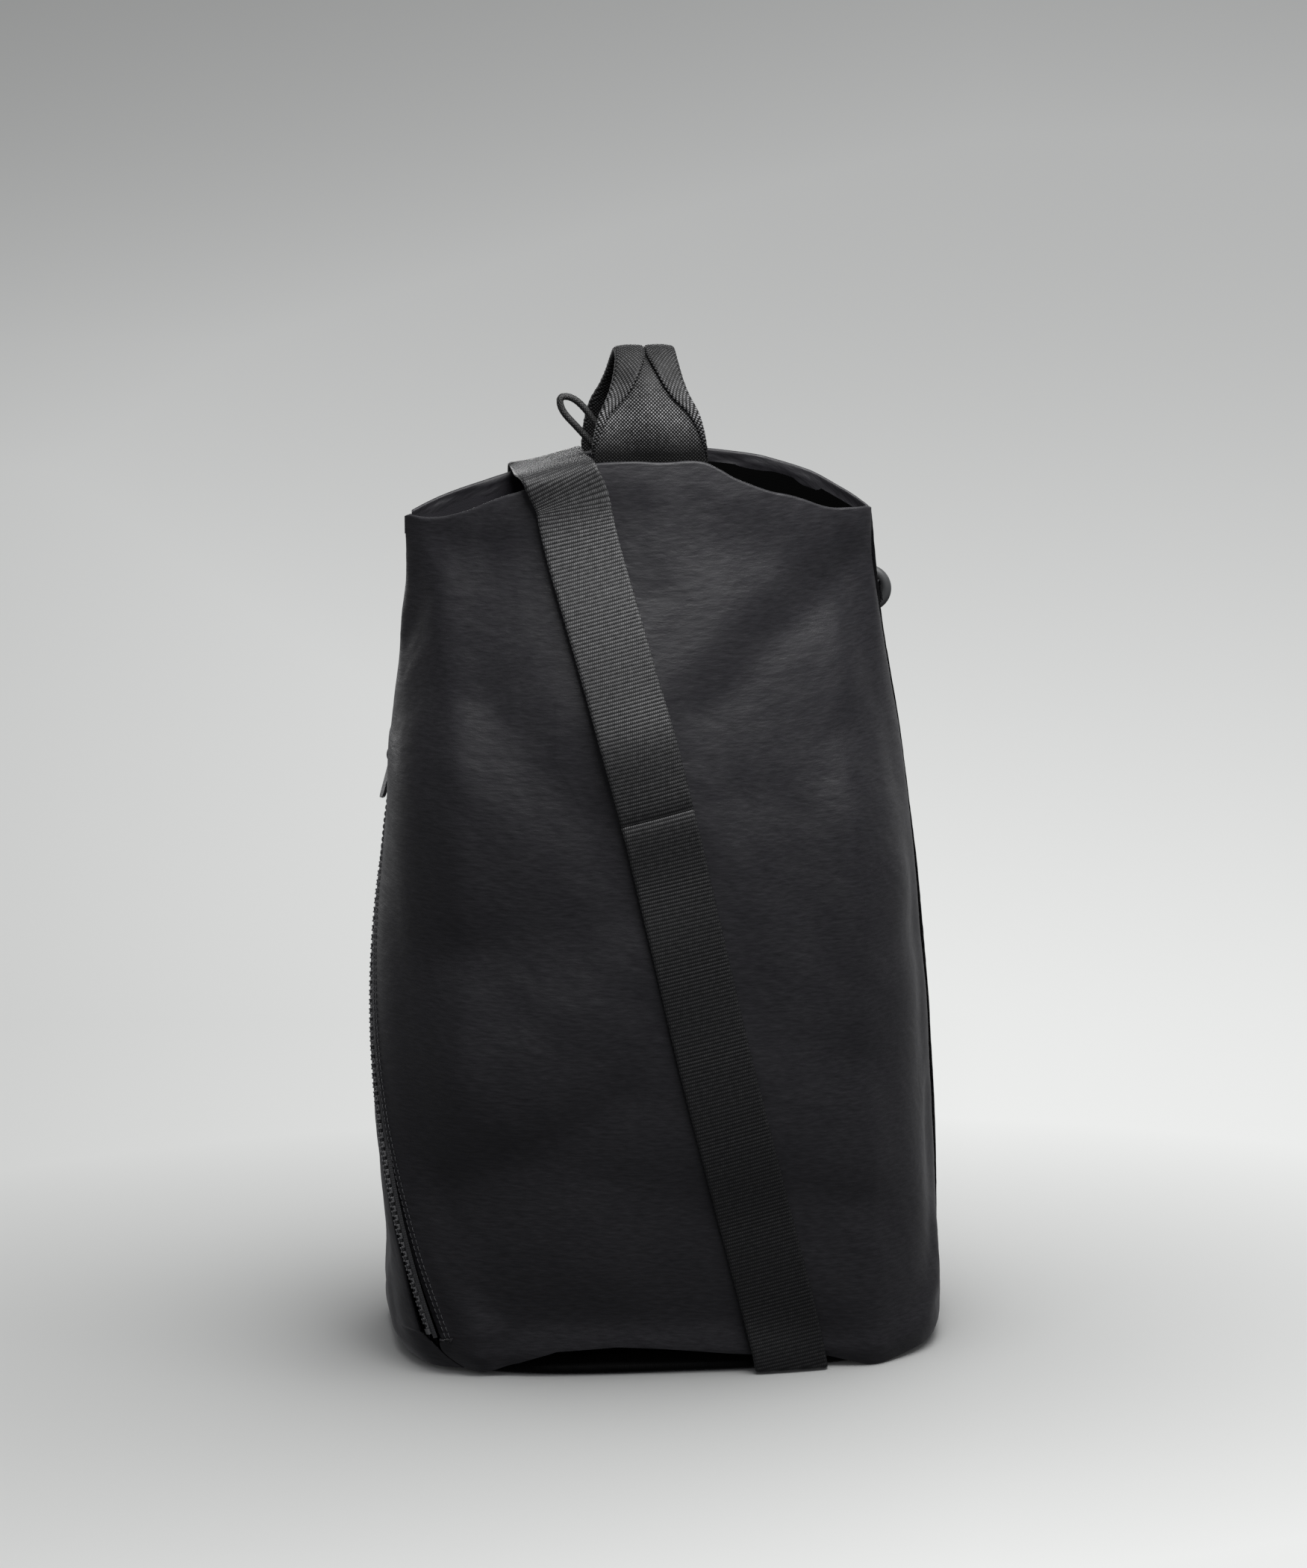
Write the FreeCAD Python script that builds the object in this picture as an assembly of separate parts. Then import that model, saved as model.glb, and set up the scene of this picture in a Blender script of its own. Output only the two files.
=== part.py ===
import FreeCAD, Part
import os
from math import atan2, cos, pi, radians, sin, sqrt

# A soft storage bag that stands on its base and narrows to a lens-shaped mouth with two pointed ears.
# It has a zipped mouth, a zipped left side, a webbing grab handle, a ring on the right and a carry strap
# that comes up the back, crosses the mouth and runs slantwise down the front.
# Millimetres. Origin: the middle of the base, on the ground. Front is -Y, +X is the viewer's right.

V = FreeCAD.Vector

# ---- driving dimensions: body ----
# one row per level: height, half width, half depth, lean to +X, corner exponent across, exponent in depth
LEVELS = (
    (0.0, 141.0, 84.0, 3.0, 3.2, 3.2),
    (12.0, 147.0, 88.0, 1.0, 3.1, 3.1),
    (40.0, 149.0, 90.0, 0.0, 3.0, 3.0),
    (110.0, 149.0, 91.0, -2.5, 2.8, 2.8),
    (210.0, 146.0, 86.0, -7.0, 2.6, 2.5),
    (315.0, 135.5, 70.0, -9.5, 2.4, 2.1),
    (404.0, 121.5, 42.0, -10.0, 2.1, 1.4),
    (466.0, 119.5, 25.0, -13.0, 2.0, 1.0),
)
RIM_TOP = LEVELS[-1][0]
EAR_HEIGHT = 437.0
EAR_OVERLAP = 1.5
# the rim, seen from the front: place across, height. The back rim is fuller than the front one
FRONT_RIM = ((-110.0, 439.0), (-71.0, 453.0), (-50.0, 461.8), (-34.0, 465.4))
FRONT_RIM += ((-8.0, 466.0), (18.0, 465.4), (29.0, 461.5), (41.0, 455.0), (80.0, 441.0))
BACK_RIM = ((-100.0, 448.0), (-39.0, 464.0), (0.0, 466.0), (30.0, 465.2), (68.0, 459.0))
# more heights at which the body's outline is drawn, between the levels
EXTRA_HEIGHTS = (75.0, 160.0, 262.0, 360.0, 435.0)
OUTLINE_STEPS = 24
FABRIC = 1.8
LINING = 0.8
LINING_INSET = 2.4
LINING_DROP = 3.0
LAYER_GAP = 0.2
BASE_FABRIC = 2.0
BASE_BOARD = 2.0
BOARD_INSET = 6.0
# larger than the bag, for cutting shapes
FAR = 300.0

# ---- driving dimensions: webbing ----
STRAP_WIDTH = 38.0
WEBBING = 1.6
STRAP_GAP = 0.7
NEAR_RIM_LIFT = 0.8
STRAP_X_RIM = -57.2
# the strap's middle line on the front: height, place across
STRAP_LINE = ((7.0, 59.5), (165.0, 19.5), (290.0, -8.0), (400.0, -36.5), (446.0, -49.5), (464.0, -56.0))
# heights at which the strap's path is drawn up the front and down the back
STRAP_UP = (11, 16, 22, 30, 45, 75, 110, 150, 190, 230, 270, 310, 350, 390, 425, 446)
STRAP_DOWN = (440, 420, 395, 365, 335, 305, 275, 250)
NEAR_RIM = 425.0
STRAP_RISE = 0.3
STRAP_TWIST = 0.18
# over the rims: place across from the rim line, depth, height, share of the twist
STRAP_OVER = ((3.7, -27.6, 455.5, -1), (2.6, -26.4, 459.6, -1), (1.2, -23.2, 462.3, -1))
STRAP_OVER += ((0, -17.0, 463.2, 0),)
STRAP_OVER += ((0, 17.0, 463.2, 0), (0, 22.9, 462.3, 1), (0, 25.9, 459.8, 1), (0, 27.3, 455.5, 1))
BACK_STRAP_LIFT = 0.8
BACK_STRAP_SWAY = 0.03
BACK_STRAP_SWAY_TOP = 330.0
HANDLE_X = -7.4
HANDLE_WIDTH = 60.0
HANDLE_TOP_WIDTH = 30.0
HANDLE_TOP = 522.0
HANDLE_FRONT_Y = -18.6
HANDLE_BACK_Y = 35.6
HANDLE_SHOULDER = 475.0
HANDLE_LOW = 448.0
HANDLE_STRAIGHT = (458.0, 467.0)
HANDLE_TAPER = 1.6
HANDLE_STEPS = 12
HANDLE_END_GAP = 0.4
SEWN_LOW = 441.0
SEWN_HIGH = 457.0

# ---- driving dimensions: zips ----
TOOTH_PITCH = 4.8
TOOTH_LENGTH = 3.2
TOOTH_HEIGHT = 2.8
TOOTH_INNER = 0.7
TOOTH_OUTER = 3.5
TOOTH_ROOT = 1.6
TOOTH_NOSE = 0.8
CHAIN_INSET = 4.0
STOP_LENGTH = 3.0
STOP_GAP = 2.0
TAPE_INNER = 3.7
TAPE_OUTER = 12.0
TAPE = 0.8
SLIDER_LENGTH = 16.0
SLIDER_WIDTH = 12.0
PLATE = 1.4
PLATE_LEVEL = 2.0
POST_WIDTH = 0.9
BAIL_RADIUS = 5.4
BAIL_WIRE = 1.0
CORD_RADIUS = 1.75
PULL_LEVEL = PLATE_LEVEL + PLATE + 2.3
MOUTH_ZIP_LEVEL = 424.0
MOUTH_ZIP_LEFT = -96.0
MOUTH_ZIP_RIGHT = 72.0
MOUTH_SLIDER_X = -15.0
MOUTH_PULL_LENGTH = 78.0
MOUTH_PULL_LEANS = (8.0, 48.0)
FACING_GAP = 4.0
# the side zip passes through these places on the left wall: depth, height
SIDE_ZIP_LOW = (-65.0, 20.0)
SIDE_ZIP_MIDDLE = (-24.0, 155.0)
SIDE_ZIP_HIGH = (38.0, 322.0)
SIDE_SLIDER_HEIGHT = 305.0
SIDE_TAPE_OUTER = 8.0
CHANNEL_HALF = 8.4
CHANNEL_DEPTH = 14.0
CHANNEL_EXTRA = 3.0

# ---- driving dimensions: hardware ----
RING_WIRE = 2.85
RING_HALF_BAR = 9.65
RING_LEG = 2.0
RING_BAR = V(108.5, 17.5, 392.0)
RING_AIM = radians(-12.0)
RING_TILT = 8.0
TAB_WIDTH = 12.0
TAB_LENGTH = 15.0
TAB_AIM = atan2(-0.914, 0.406)
TAB_WEBBING = 1.4
RING_TAB_LENGTH = 21.0
BACK_STRAP_LOW = V(STRAP_X_RIM, 101.6, 46.0)
BACK_STRAP_HIGH = V(STRAP_X_RIM, 92.0, 215.0)
LOOP_INNER = 4.6
OVAL_WIRE = 2.0
OVAL_INNER_WIDTH = 41.0
OVAL_REACH = 14.0
ADJUSTER_HEIGHT = 150.0
ADJUSTER_BAR = 3.0
ADJUSTER_RAIL = 3.2
ADJUSTER_LENGTH = 22.0


# ---- the body's outline ----
def level(z):
    """Half width, half depth, lean and both exponents at height z, smooth between the levels."""
    z = min(max(z, LEVELS[0][0]), RIM_TOP)
    last = len(LEVELS) - 1
    i = max(k for k in range(last) if LEVELS[k][0] <= z)
    step = LEVELS[i + 1][0] - LEVELS[i][0]
    t = (z - LEVELS[i][0]) / step

    def slope(k, column):
        low, high = LEVELS[max(k - 1, 0)], LEVELS[min(k + 1, last)]
        return (high[column] - low[column]) / (high[0] - low[0])

    values = []
    for column in range(1, len(LEVELS[0])):
        low, high = LEVELS[i][column], LEVELS[i + 1][column]
        start, end = slope(i, column) * step, slope(i + 1, column) * step
        values.append(
            low * (1 + 2 * t) * (1 - t) ** 2
            + start * t * (1 - t) ** 2
            + high * t * t * (3 - 2 * t)
            + end * t * t * (t - 1)
        )
    return values


def wall_y(x, z):
    """Half depth of the outer surface at a place across the bag."""
    half_width, half_depth, lean, across, deep = level(z)
    u = min(abs(x - lean) / half_width, 1.0)
    return half_depth * (1 - u**across) ** (1 / deep)


def wall_x(y, z):
    """The left surface's place across the bag at a depth."""
    half_width, half_depth, lean, across, deep = level(z)
    u = min(abs(y) / half_depth, 1.0)
    return lean - half_width * (1 - u**deep) ** (1 / across)


def outline(z, inset):
    """Closed outline at height z as a front and a back curve that meet at the ears."""
    half_width, half_depth, lean, across, deep = level(z)
    pointed = 1 + 1.7 * max(0.0, 2 - deep)
    half_width -= inset * pointed
    half_depth -= inset
    steps = OUTLINE_STEPS
    edges = []
    for side in (-1, 1):
        points = []
        for k in range(steps + 1):
            turn = pi * k / steps
            x = abs(cos(turn)) ** (2 / across) * (-1 if k * 2 > steps else 1)
            y = abs(sin(turn)) ** (2 / deep) if 0 < k < steps else 0.0
            points.append(V(lean + half_width * x, side * half_depth * y, z))
        curve = Part.BSplineCurve()
        curve.interpolate(Points=points, Parameters=[k / steps for k in range(steps + 1)])
        edges.append(curve.toShape())
    return Part.Wire(edges)


def body_solid(inset, z_low, z_high=RIM_TOP + 2):
    """The bag's full form, drawn in by inset, between two heights."""
    inner = [row[0] for row in LEVELS[1:]] + list(EXTRA_HEIGHTS)
    heights = [z_low] + sorted(z for z in inner if z_low + 4 < z < z_high - 4) + [z_high]
    return Part.makeLoft([outline(z, inset) for z in heights], True, False)


def above_rim(points, side, drop=0.0):
    """Everything above the front (-1) or back (+1) rim."""
    left = level(EAR_HEIGHT)[2] - level(EAR_HEIGHT)[0]
    right = level(EAR_HEIGHT)[2] + level(EAR_HEIGHT)[0]
    reach = 30.0
    ends = [(left - reach, EAR_HEIGHT), (left, EAR_HEIGHT + 1)]
    points = ends + list(points) + [(right, EAR_HEIGHT), (right + reach, EAR_HEIGHT)]
    curve = Part.BSplineCurve()
    curve.interpolate([V(x, 0, z - drop) for x, z in points])
    top = RIM_TOP + 50
    first, final = points[0], points[-1]
    corners = [V(final[0], 0, final[1] - drop), V(final[0], 0, top)]
    corners += [V(first[0], 0, top), V(first[0], 0, first[1] - drop)]
    face = Part.Face(Part.Wire([curve.toShape(), Part.makePolygon(corners)]))
    face.translate(V(0, -side * EAR_OVERLAP, 0))
    return face.extrude(V(0, side * 120, 0))


def cut_rim(shape, drop=0.0):
    return shape.cut(above_rim(FRONT_RIM, -1, drop)).cut(above_rim(BACK_RIM, 1, drop))


# ---- the side zip's circle ----
def circle_of(a, b, c):
    """Centre, radius and axis of the circle through three points."""
    ab, ac = b - a, c - a
    normal = ab.cross(ac)
    offset = (normal.cross(ab) * ac.dot(ac) + ac.cross(normal) * ab.dot(ab)) / (2 * normal.dot(normal))
    return a + offset, offset.Length, normal.normalize()


def on_left_wall(place):
    return V(wall_x(*place), *place)


ZIP_PLACES = [on_left_wall(place) for place in (SIDE_ZIP_LOW, SIDE_ZIP_MIDDLE, SIDE_ZIP_HIGH)]
ZIP_CENTRE, ZIP_RADIUS, ZIP_AXIS = circle_of(*ZIP_PLACES)
ZIP_START = (on_left_wall(SIDE_ZIP_LOW) - ZIP_CENTRE).normalize()


def zip_turn(height):
    """Angle from the side zip's lower end at which its circle reaches a height."""
    low, high = 0.0, 1.0
    for _ in range(50):
        middle = (low + high) / 2
        if zip_frame(middle).Base.z < height:
            low = middle
        else:
            high = middle
    return low


def zip_frame(turn):
    """Placement on the side zip: x runs up the chain, y across it, z out of the bag."""
    out = FreeCAD.Rotation(ZIP_AXIS, turn * 180 / pi).multVec(ZIP_START)
    along = ZIP_AXIS.cross(out)
    m = FreeCAD.Matrix()
    for column, axis in enumerate((along, out.cross(along), out)):
        for row, value in enumerate(axis):
            setattr(m, f"A{row + 1}{column + 1}", value)
    base = ZIP_CENTRE + out * ZIP_RADIUS
    m.move(base)
    return FreeCAD.Placement(m)


ZIP_SWEEP = zip_turn(SIDE_ZIP_HIGH[1])


def zip_band(inner, outer, low, high, extra=0.0):
    """Band that follows the side zip: inner to outer across, low to high out of the bag."""
    frame = zip_frame(-extra / ZIP_RADIUS)
    corners = [V(0, inner, low), V(0, outer, low), V(0, outer, high), V(0, inner, high)]
    corners.append(corners[0])
    face = Part.Face(Part.makePolygon([frame.multVec(c) for c in corners]))
    sweep = ZIP_SWEEP + 2 * extra / ZIP_RADIUS
    return face.revolve(ZIP_CENTRE, ZIP_AXIS, sweep * 180 / pi)


# ---- zip pieces, drawn with x along the chain, y across it, z outward ----
def box(length, width, height, x=0.0, y=0.0, z=0.0):
    """Box centred on a point."""
    return Part.makeBox(length, width, height, V(x - length / 2, y - width / 2, z - height / 2))


def round_upright(shape, radius):
    """Round the edges that stand along z."""
    return shape.makeFillet(radius, [e for e in shape.Edges if abs(e.tangentAt(e.FirstParameter).z) > 0.9])


def tooth(side):
    """One moulded tooth with a narrower nose towards the chain's centre."""
    half, middle, nose = TOOTH_LENGTH / 2, TOOTH_OUTER - TOOTH_ROOT, TOOTH_NOSE
    shape = ((-half, TOOTH_OUTER), (-half, middle), (-nose, TOOTH_INNER), (nose, TOOTH_INNER))
    shape += ((half, middle), (half, TOOTH_OUTER), (-half, TOOTH_OUTER))
    corners = [V(x, side * y, -TOOTH_HEIGHT / 2) for x, y in shape]
    return Part.Face(Part.makePolygon(corners)).extrude(V(0, 0, TOOTH_HEIGHT))


def placed(shape, placement):
    copy = shape.copy()
    copy.Placement = placement.multiply(shape.Placement)
    return copy


def teeth(place_at, count):
    """Both rows of teeth; the second row is half a pitch further along."""
    rows = []
    for side in (-1, 1):
        shape = tooth(side)
        for k in range(count):
            rows.append(placed(shape, place_at((k + 0.5 + 0.25 * side) * TOOTH_PITCH)))
    return Part.makeCompound(rows)


def slider():
    """Two plates joined by a thin post, with an arched bridge for the pull."""
    plates = []
    for level_z in (PLATE_LEVEL + PLATE / 2, -PLATE_LEVEL - PLATE / 2):
        plate = box(SLIDER_LENGTH, SLIDER_WIDTH, PLATE, z=level_z)
        plates.append(round_upright(plate, 3.0))
    post = box(4, POST_WIDTH, 2 * PLATE_LEVEL + 0.4, x=SLIDER_LENGTH / 2 - 3)
    bridge = Part.makeTorus(BAIL_RADIUS, BAIL_WIRE, V(0, 0, PLATE_LEVEL + PLATE - 0.3), V(0, 1, 0))
    bridge = bridge.common(box(30, 10, 12, z=PLATE_LEVEL + 0.4 + 6))
    return plates[0].fuse([plates[1], post, bridge]).removeSplitter()


def pull_line(length, first_lean, last_lean):
    """Function of distance along a pull, giving x, z and lean; it leans to -x as it leaves the slider."""
    first, last = radians(first_lean), radians(last_lean)

    def place(s):
        lean = first + (last - first) * s / length
        radius = length / (last - first)
        return V(-radius * (cos(first) - cos(lean)), 0, radius * (sin(lean) - sin(first))), lean

    return place


def pull_cord(line, length):
    """Cord loop through the bridge: two strands side by side that meet at both ends."""
    spread = ((0.0, 0.0), (0.15, 1.5), (0.9, 3.0), (2.4, 4.0), (5.0, 4.1), (8.5, 3.0), (12.0, 2.2))
    spread += ((15.0, 2.1), (18.0, 2.2), (26.0, 2.8), (length - 12, 3.7), (length - 7, 4.0))
    spread += ((length - 4.0, 3.7), (length - 1.7, 2.7), (length - 0.4, 1.4), (length, 0.0))
    strands = []
    for side in (-1, 1):
        points = [line(s)[0] + V(0, side * y, 0) for s, y in spread]
        path = Part.BSplineCurve()
        path.interpolate(points)
        ring = Part.Wire(Part.makeCircle(CORD_RADIUS, points[0], path.tangent(0)[0]))
        strand = Part.Wire(path.toShape()).makePipeShell([ring], True, True)
        strands.append(strand if strand.Volume > 0 else strand.reversed())
    return strands[0].fuse(strands[1])


def pull_tab():
    """Flat tab that lies back along the chain, with a slot round the bridge and a bar under it."""
    length, width, thickness, bar = 24.0, 8.4, 1.6, 1.2
    slot_length, slot_width = 6.4, 3.4
    plate = round_upright(box(length + bar, width, thickness, x=(bar - length) / 2), 2.0)
    plate = plate.cut(box(slot_length, slot_width, 3, x=-bar - slot_length / 2))
    return plate.fuse(Part.makeCylinder(bar, width - 2, V(0, 1 - width / 2, 0), V(0, 1, 0))).removeSplitter()


def pull_sleeve(line):
    """Short flat sleeve that binds the two strands together above the slider."""
    wall, room = 0.9, 0.25
    half_width, half_height = 2.1 + CORD_RADIUS + room, CORD_RADIUS + room
    length, middle = 7.0, 15.0
    shell = round_upright(box(2 * (half_height + wall), 2 * (half_width + wall), length), 1.6)
    shell = shell.cut(box(2 * half_height, 2 * half_width, length + 2))
    place, lean = line(middle)
    return placed(shell, FreeCAD.Placement(place, FreeCAD.Rotation(V(0, 1, 0), -lean * 180 / pi)))


def stops(place_at, length):
    """Small blocks that close both ends of a chain."""
    block = box(STOP_LENGTH, 2 * TOOTH_OUTER, TOOTH_HEIGHT)
    return Part.makeCompound([placed(block, place_at(s)) for s in (-STOP_GAP, length + STOP_GAP)])


# ---- mouth zip ----
def mouth_place(s):
    return FreeCAD.Placement(V(MOUTH_ZIP_LEFT + CHAIN_INSET + s, 0, MOUTH_ZIP_LEVEL), FreeCAD.Rotation())


def mouth_tape(side):
    length = MOUTH_ZIP_RIGHT - MOUTH_ZIP_LEFT
    middle = (MOUTH_ZIP_LEFT + MOUTH_ZIP_RIGHT) / 2
    width = TAPE_OUTER - TAPE_INNER
    y = side * (TAPE_INNER + TAPE_OUTER) / 2
    return box(length, width, TAPE, middle, y, MOUTH_ZIP_LEVEL)


def mouth_facing(side):
    """Fabric shelf from the lining to the zip tape, just above the tape."""
    low = MOUTH_ZIP_LEVEL + TAPE / 2 + LAYER_GAP
    inner = TAPE_INNER + FACING_GAP
    shelf = body_solid(LINING_INSET + LINING + LAYER_GAP, low - 60)
    keep = Part.makeBox(2 * FAR, FAR, LINING, V(-FAR, inner if side > 0 else -inner - FAR, low))
    return shelf.common(keep)


MOUTH_PULL = pull_line(MOUTH_PULL_LENGTH, *MOUTH_PULL_LEANS)


def at_mouth_pull(shape):
    place = V(MOUTH_SLIDER_X, 0, MOUTH_ZIP_LEVEL + PULL_LEVEL)
    return placed(shape, FreeCAD.Placement(place, FreeCAD.Rotation()))


def at_side_pull(shape):
    frame = zip_frame(zip_turn(SIDE_SLIDER_HEIGHT))
    return placed(shape, frame.multiply(FreeCAD.Placement(V(0, 0, PULL_LEVEL), FreeCAD.Rotation())))


# ---- shell ----
def front_region():
    """Everything ahead of the side seams; on the left the seam is the side zip's plane."""
    low, seam_top = -50.0, SIDE_ZIP_HIGH[1] - 2
    right = Part.makeBox(FAR, FAR, 2 * FAR, V(0, -FAR, low))
    upper_left = Part.makeBox(FAR, FAR, 2 * FAR, V(-FAR, -FAR, seam_top))
    lower_left = Part.makeBox(FAR, 2 * FAR, seam_top - low, V(-FAR, -FAR, low))
    big = 3 * FAR
    block = Part.makeBox(big, big, big, V(-big / 2, 0, -big / 2))
    facing = ZIP_AXIS if ZIP_AXIS.y < 0 else ZIP_AXIS * -1
    turn = FreeCAD.Rotation(V(0, 1, 0), facing)
    ahead = placed(block, FreeCAD.Placement(on_left_wall(SIDE_ZIP_MIDDLE), turn))
    return right.fuse([upper_left, lower_left.common(ahead)])


def shell_panels():
    wall = body_solid(0, BASE_FABRIC + LAYER_GAP).cut(body_solid(FABRIC, BASE_FABRIC - 1))
    wall = cut_rim(wall)
    wall = wall.cut(zip_band(-CHANNEL_HALF, CHANNEL_HALF, -CHANNEL_DEPTH, CHANNEL_DEPTH, CHANNEL_EXTRA))
    front = front_region()
    return wall.common(front), wall.cut(front)


def slab(low, thickness):
    """Level slab wider than the bag."""
    return Part.makeBox(2 * FAR, 2 * FAR, thickness, V(-FAR, -FAR, low))


def base_panel():
    return body_solid(0, 0, 30).common(slab(0, BASE_FABRIC))


def base_board():
    return body_solid(BOARD_INSET, 0, 30).common(slab(BASE_FABRIC + LAYER_GAP, BASE_BOARD))


def lining():
    floor = BASE_FABRIC + BASE_BOARD + 2 * LAYER_GAP
    shape = body_solid(LINING_INSET, floor).cut(body_solid(LINING_INSET + LINING, floor + LINING))
    shape = cut_rim(shape, LINING_DROP)
    half = CHANNEL_HALF + 1
    return shape.cut(zip_band(-half, half, -CHANNEL_DEPTH, CHANNEL_DEPTH, CHANNEL_EXTRA + 1))


# ---- webbing ----
def ribbon(path, widths, thickness):
    """Webbing along a path of (point, across, outward) with a width at each point."""
    wires = []
    for (point, across, outward), width in zip(path, widths):
        a, b = across * (width / 2), outward * (thickness / 2)
        corners = [point - a - b, point + a - b, point + a + b, point - a + b, point - a - b]
        wires.append(Part.makePolygon(corners))
    return Part.makeLoft(wires, True, True)


def framed(points, sideways):
    """Add to each point the direction across the webbing and its outward normal."""
    path = []
    for i, point in enumerate(points):
        ahead = points[min(i + 1, len(points) - 1)] - points[max(i - 1, 0)]
        ahead.normalize()
        across = sideways[i] - ahead * sideways[i].dot(ahead)
        across.normalize()
        path.append((point, across, across.cross(ahead)))
    return path


def front_strap_x(z):
    """Place across of the strap's middle line, straight between its listed heights."""
    for (low_z, low_x), (high_z, high_x) in zip(STRAP_LINE, STRAP_LINE[1:]):
        if z <= high_z:
            break
    return low_x + (high_x - low_x) * (z - low_z) / (high_z - low_z)


def clear_of_wall(x, z, side, lift):
    """Point off the front or back surface, measured square to it."""
    step = 2.0
    y = wall_y(x, z)
    nx = -(wall_y(x + step, z) - wall_y(x - step, z)) / (2 * step)
    nz = -(wall_y(x, z + step) - wall_y(x, z - step)) / (2 * step)
    size = sqrt(1 + nx * nx + nz * nz)
    slant = V(1, side * -nx, 0)
    return V(x + lift * nx / size, side * (y + lift / size), z + lift * nz / size), slant


def flat_off_back(z, lift):
    """Point behind the back panel where webbing that stays flat across just clears the panel."""
    reach = STRAP_WIDTH / 2
    out = max(wall_y(STRAP_X_RIM + d, z) for d in (-reach, 0.0, reach))
    return V(STRAP_X_RIM, out + lift, z)


def strap_path():
    """From the foot of the front, up over both rims and down the back to the straight run."""
    lift = STRAP_GAP + WEBBING / 2
    points, sideways = [], []
    for z in (STRAP_LINE[0][0],) + STRAP_UP:
        near_rim = NEAR_RIM_LIFT if z > NEAR_RIM else 0
        point, slant = clear_of_wall(front_strap_x(z), z, -1, lift + near_rim)
        points.append(point)
        sideways.append(slant)
    for shift, y, z, twist in STRAP_OVER:
        points.append(V(STRAP_X_RIM + shift, y, z))
        sideways.append(V(1, twist * STRAP_TWIST, STRAP_RISE))
    for z in STRAP_DOWN:
        sway = max(0.0, BACK_STRAP_SWAY_TOP - z) * BACK_STRAP_SWAY
        points.append(flat_off_back(z, lift + BACK_STRAP_LIFT + sway))
        sideways.append(V(1, 0, 0))
    return framed(points, sideways)


def shoulder_strap():
    """The strap: a shaped run over the bag, a straight run for the adjuster and an eye at its end."""
    path = strap_path()
    upper = ribbon(path, [STRAP_WIDTH] * len(path), WEBBING)
    joint = path[-1][0]
    run = [joint, BACK_STRAP_HIGH, BACK_STRAP_LOW]
    lower = []
    for first, second in zip(run, run[1:]):
        piece = framed([first, second], [V(1, 0, 0)] * 2)
        lower.append(ribbon(piece, [STRAP_WIDTH] * 2, WEBBING))
    left = V(-STRAP_WIDTH / 2, 0, 0)
    bends = [Part.makeCylinder(WEBBING / 2, STRAP_WIDTH, p + left, V(1, 0, 0)) for p in run[:2]]
    return upper.fuse(lower + bends + [strap_eye()]).removeSplitter()


def strap_eye():
    """Sewn eye round the upper bar of the lower ring."""
    middle = eye_centre()
    start = middle - V(STRAP_WIDTH / 2, 0, 0)
    outer = Part.makeCylinder(LOOP_INNER + WEBBING, STRAP_WIDTH, start, V(1, 0, 0))
    return outer.cut(Part.makeCylinder(LOOP_INNER, STRAP_WIDTH, start, V(1, 0, 0)))


def eye_centre():
    return BACK_STRAP_LOW - V(0, LOOP_INNER + WEBBING / 2, 0)


def strap_direction():
    direction = BACK_STRAP_HIGH - BACK_STRAP_LOW
    return direction.normalize()


def strap_adjuster():
    """Three-bar buckle: two outer bars behind the strap, one inner bar between strap and bag."""
    off = WEBBING / 2 + 0.25 + ADJUSTER_BAR / 2
    half = STRAP_WIDTH / 2 + 0.6 + ADJUSTER_RAIL / 2
    bar_length = 2 * half + ADJUSTER_RAIL
    reach = ADJUSTER_LENGTH / 2 - ADJUSTER_BAR / 2
    bars = [box(bar_length, ADJUSTER_BAR, ADJUSTER_BAR, y=off, z=z) for z in (-reach, reach)]
    bars.append(box(bar_length, ADJUSTER_BAR, ADJUSTER_BAR, y=-off))
    depth = 2 * off + ADJUSTER_BAR
    rails = [box(ADJUSTER_RAIL, depth, ADJUSTER_LENGTH, x=x) for x in (-half, half)]
    frame = rails[0].fuse([rails[1]] + bars).removeSplitter()
    soft = frame.makeFillet(0.8, [e for e in frame.Edges if e.Length > ADJUSTER_LENGTH - 0.1])
    direction = strap_direction()
    share = (ADJUSTER_HEIGHT - BACK_STRAP_LOW.z) / (BACK_STRAP_HIGH.z - BACK_STRAP_LOW.z)
    place = BACK_STRAP_LOW + (BACK_STRAP_HIGH - BACK_STRAP_LOW) * share
    return placed(soft, FreeCAD.Placement(place, FreeCAD.Rotation(V(0, 0, 1), direction)))


def rod(a, b, radius):
    """Round bar from a to b with ball ends."""
    ends = [Part.makeSphere(radius, p) for p in (a, b)]
    return Part.makeCylinder(radius, (b - a).Length, a, b - a).fuse(ends)


def strap_ring():
    """Oval ring: its upper bar in the strap's eye, its lower bar in the tab."""
    half = OVAL_INNER_WIDTH / 2 + OVAL_WIRE
    top = eye_centre()
    low = top - V(0, 0, OVAL_REACH)
    corners = [top + V(-half, 0, 0), top + V(half, 0, 0), low + V(half, 0, 0), low + V(-half, 0, 0)]
    bars = [rod(a, b, OVAL_WIRE) for a, b in zip(corners, corners[1:] + corners[:1])]
    return bars[0].fuse(bars[1:]).removeSplitter()


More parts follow.
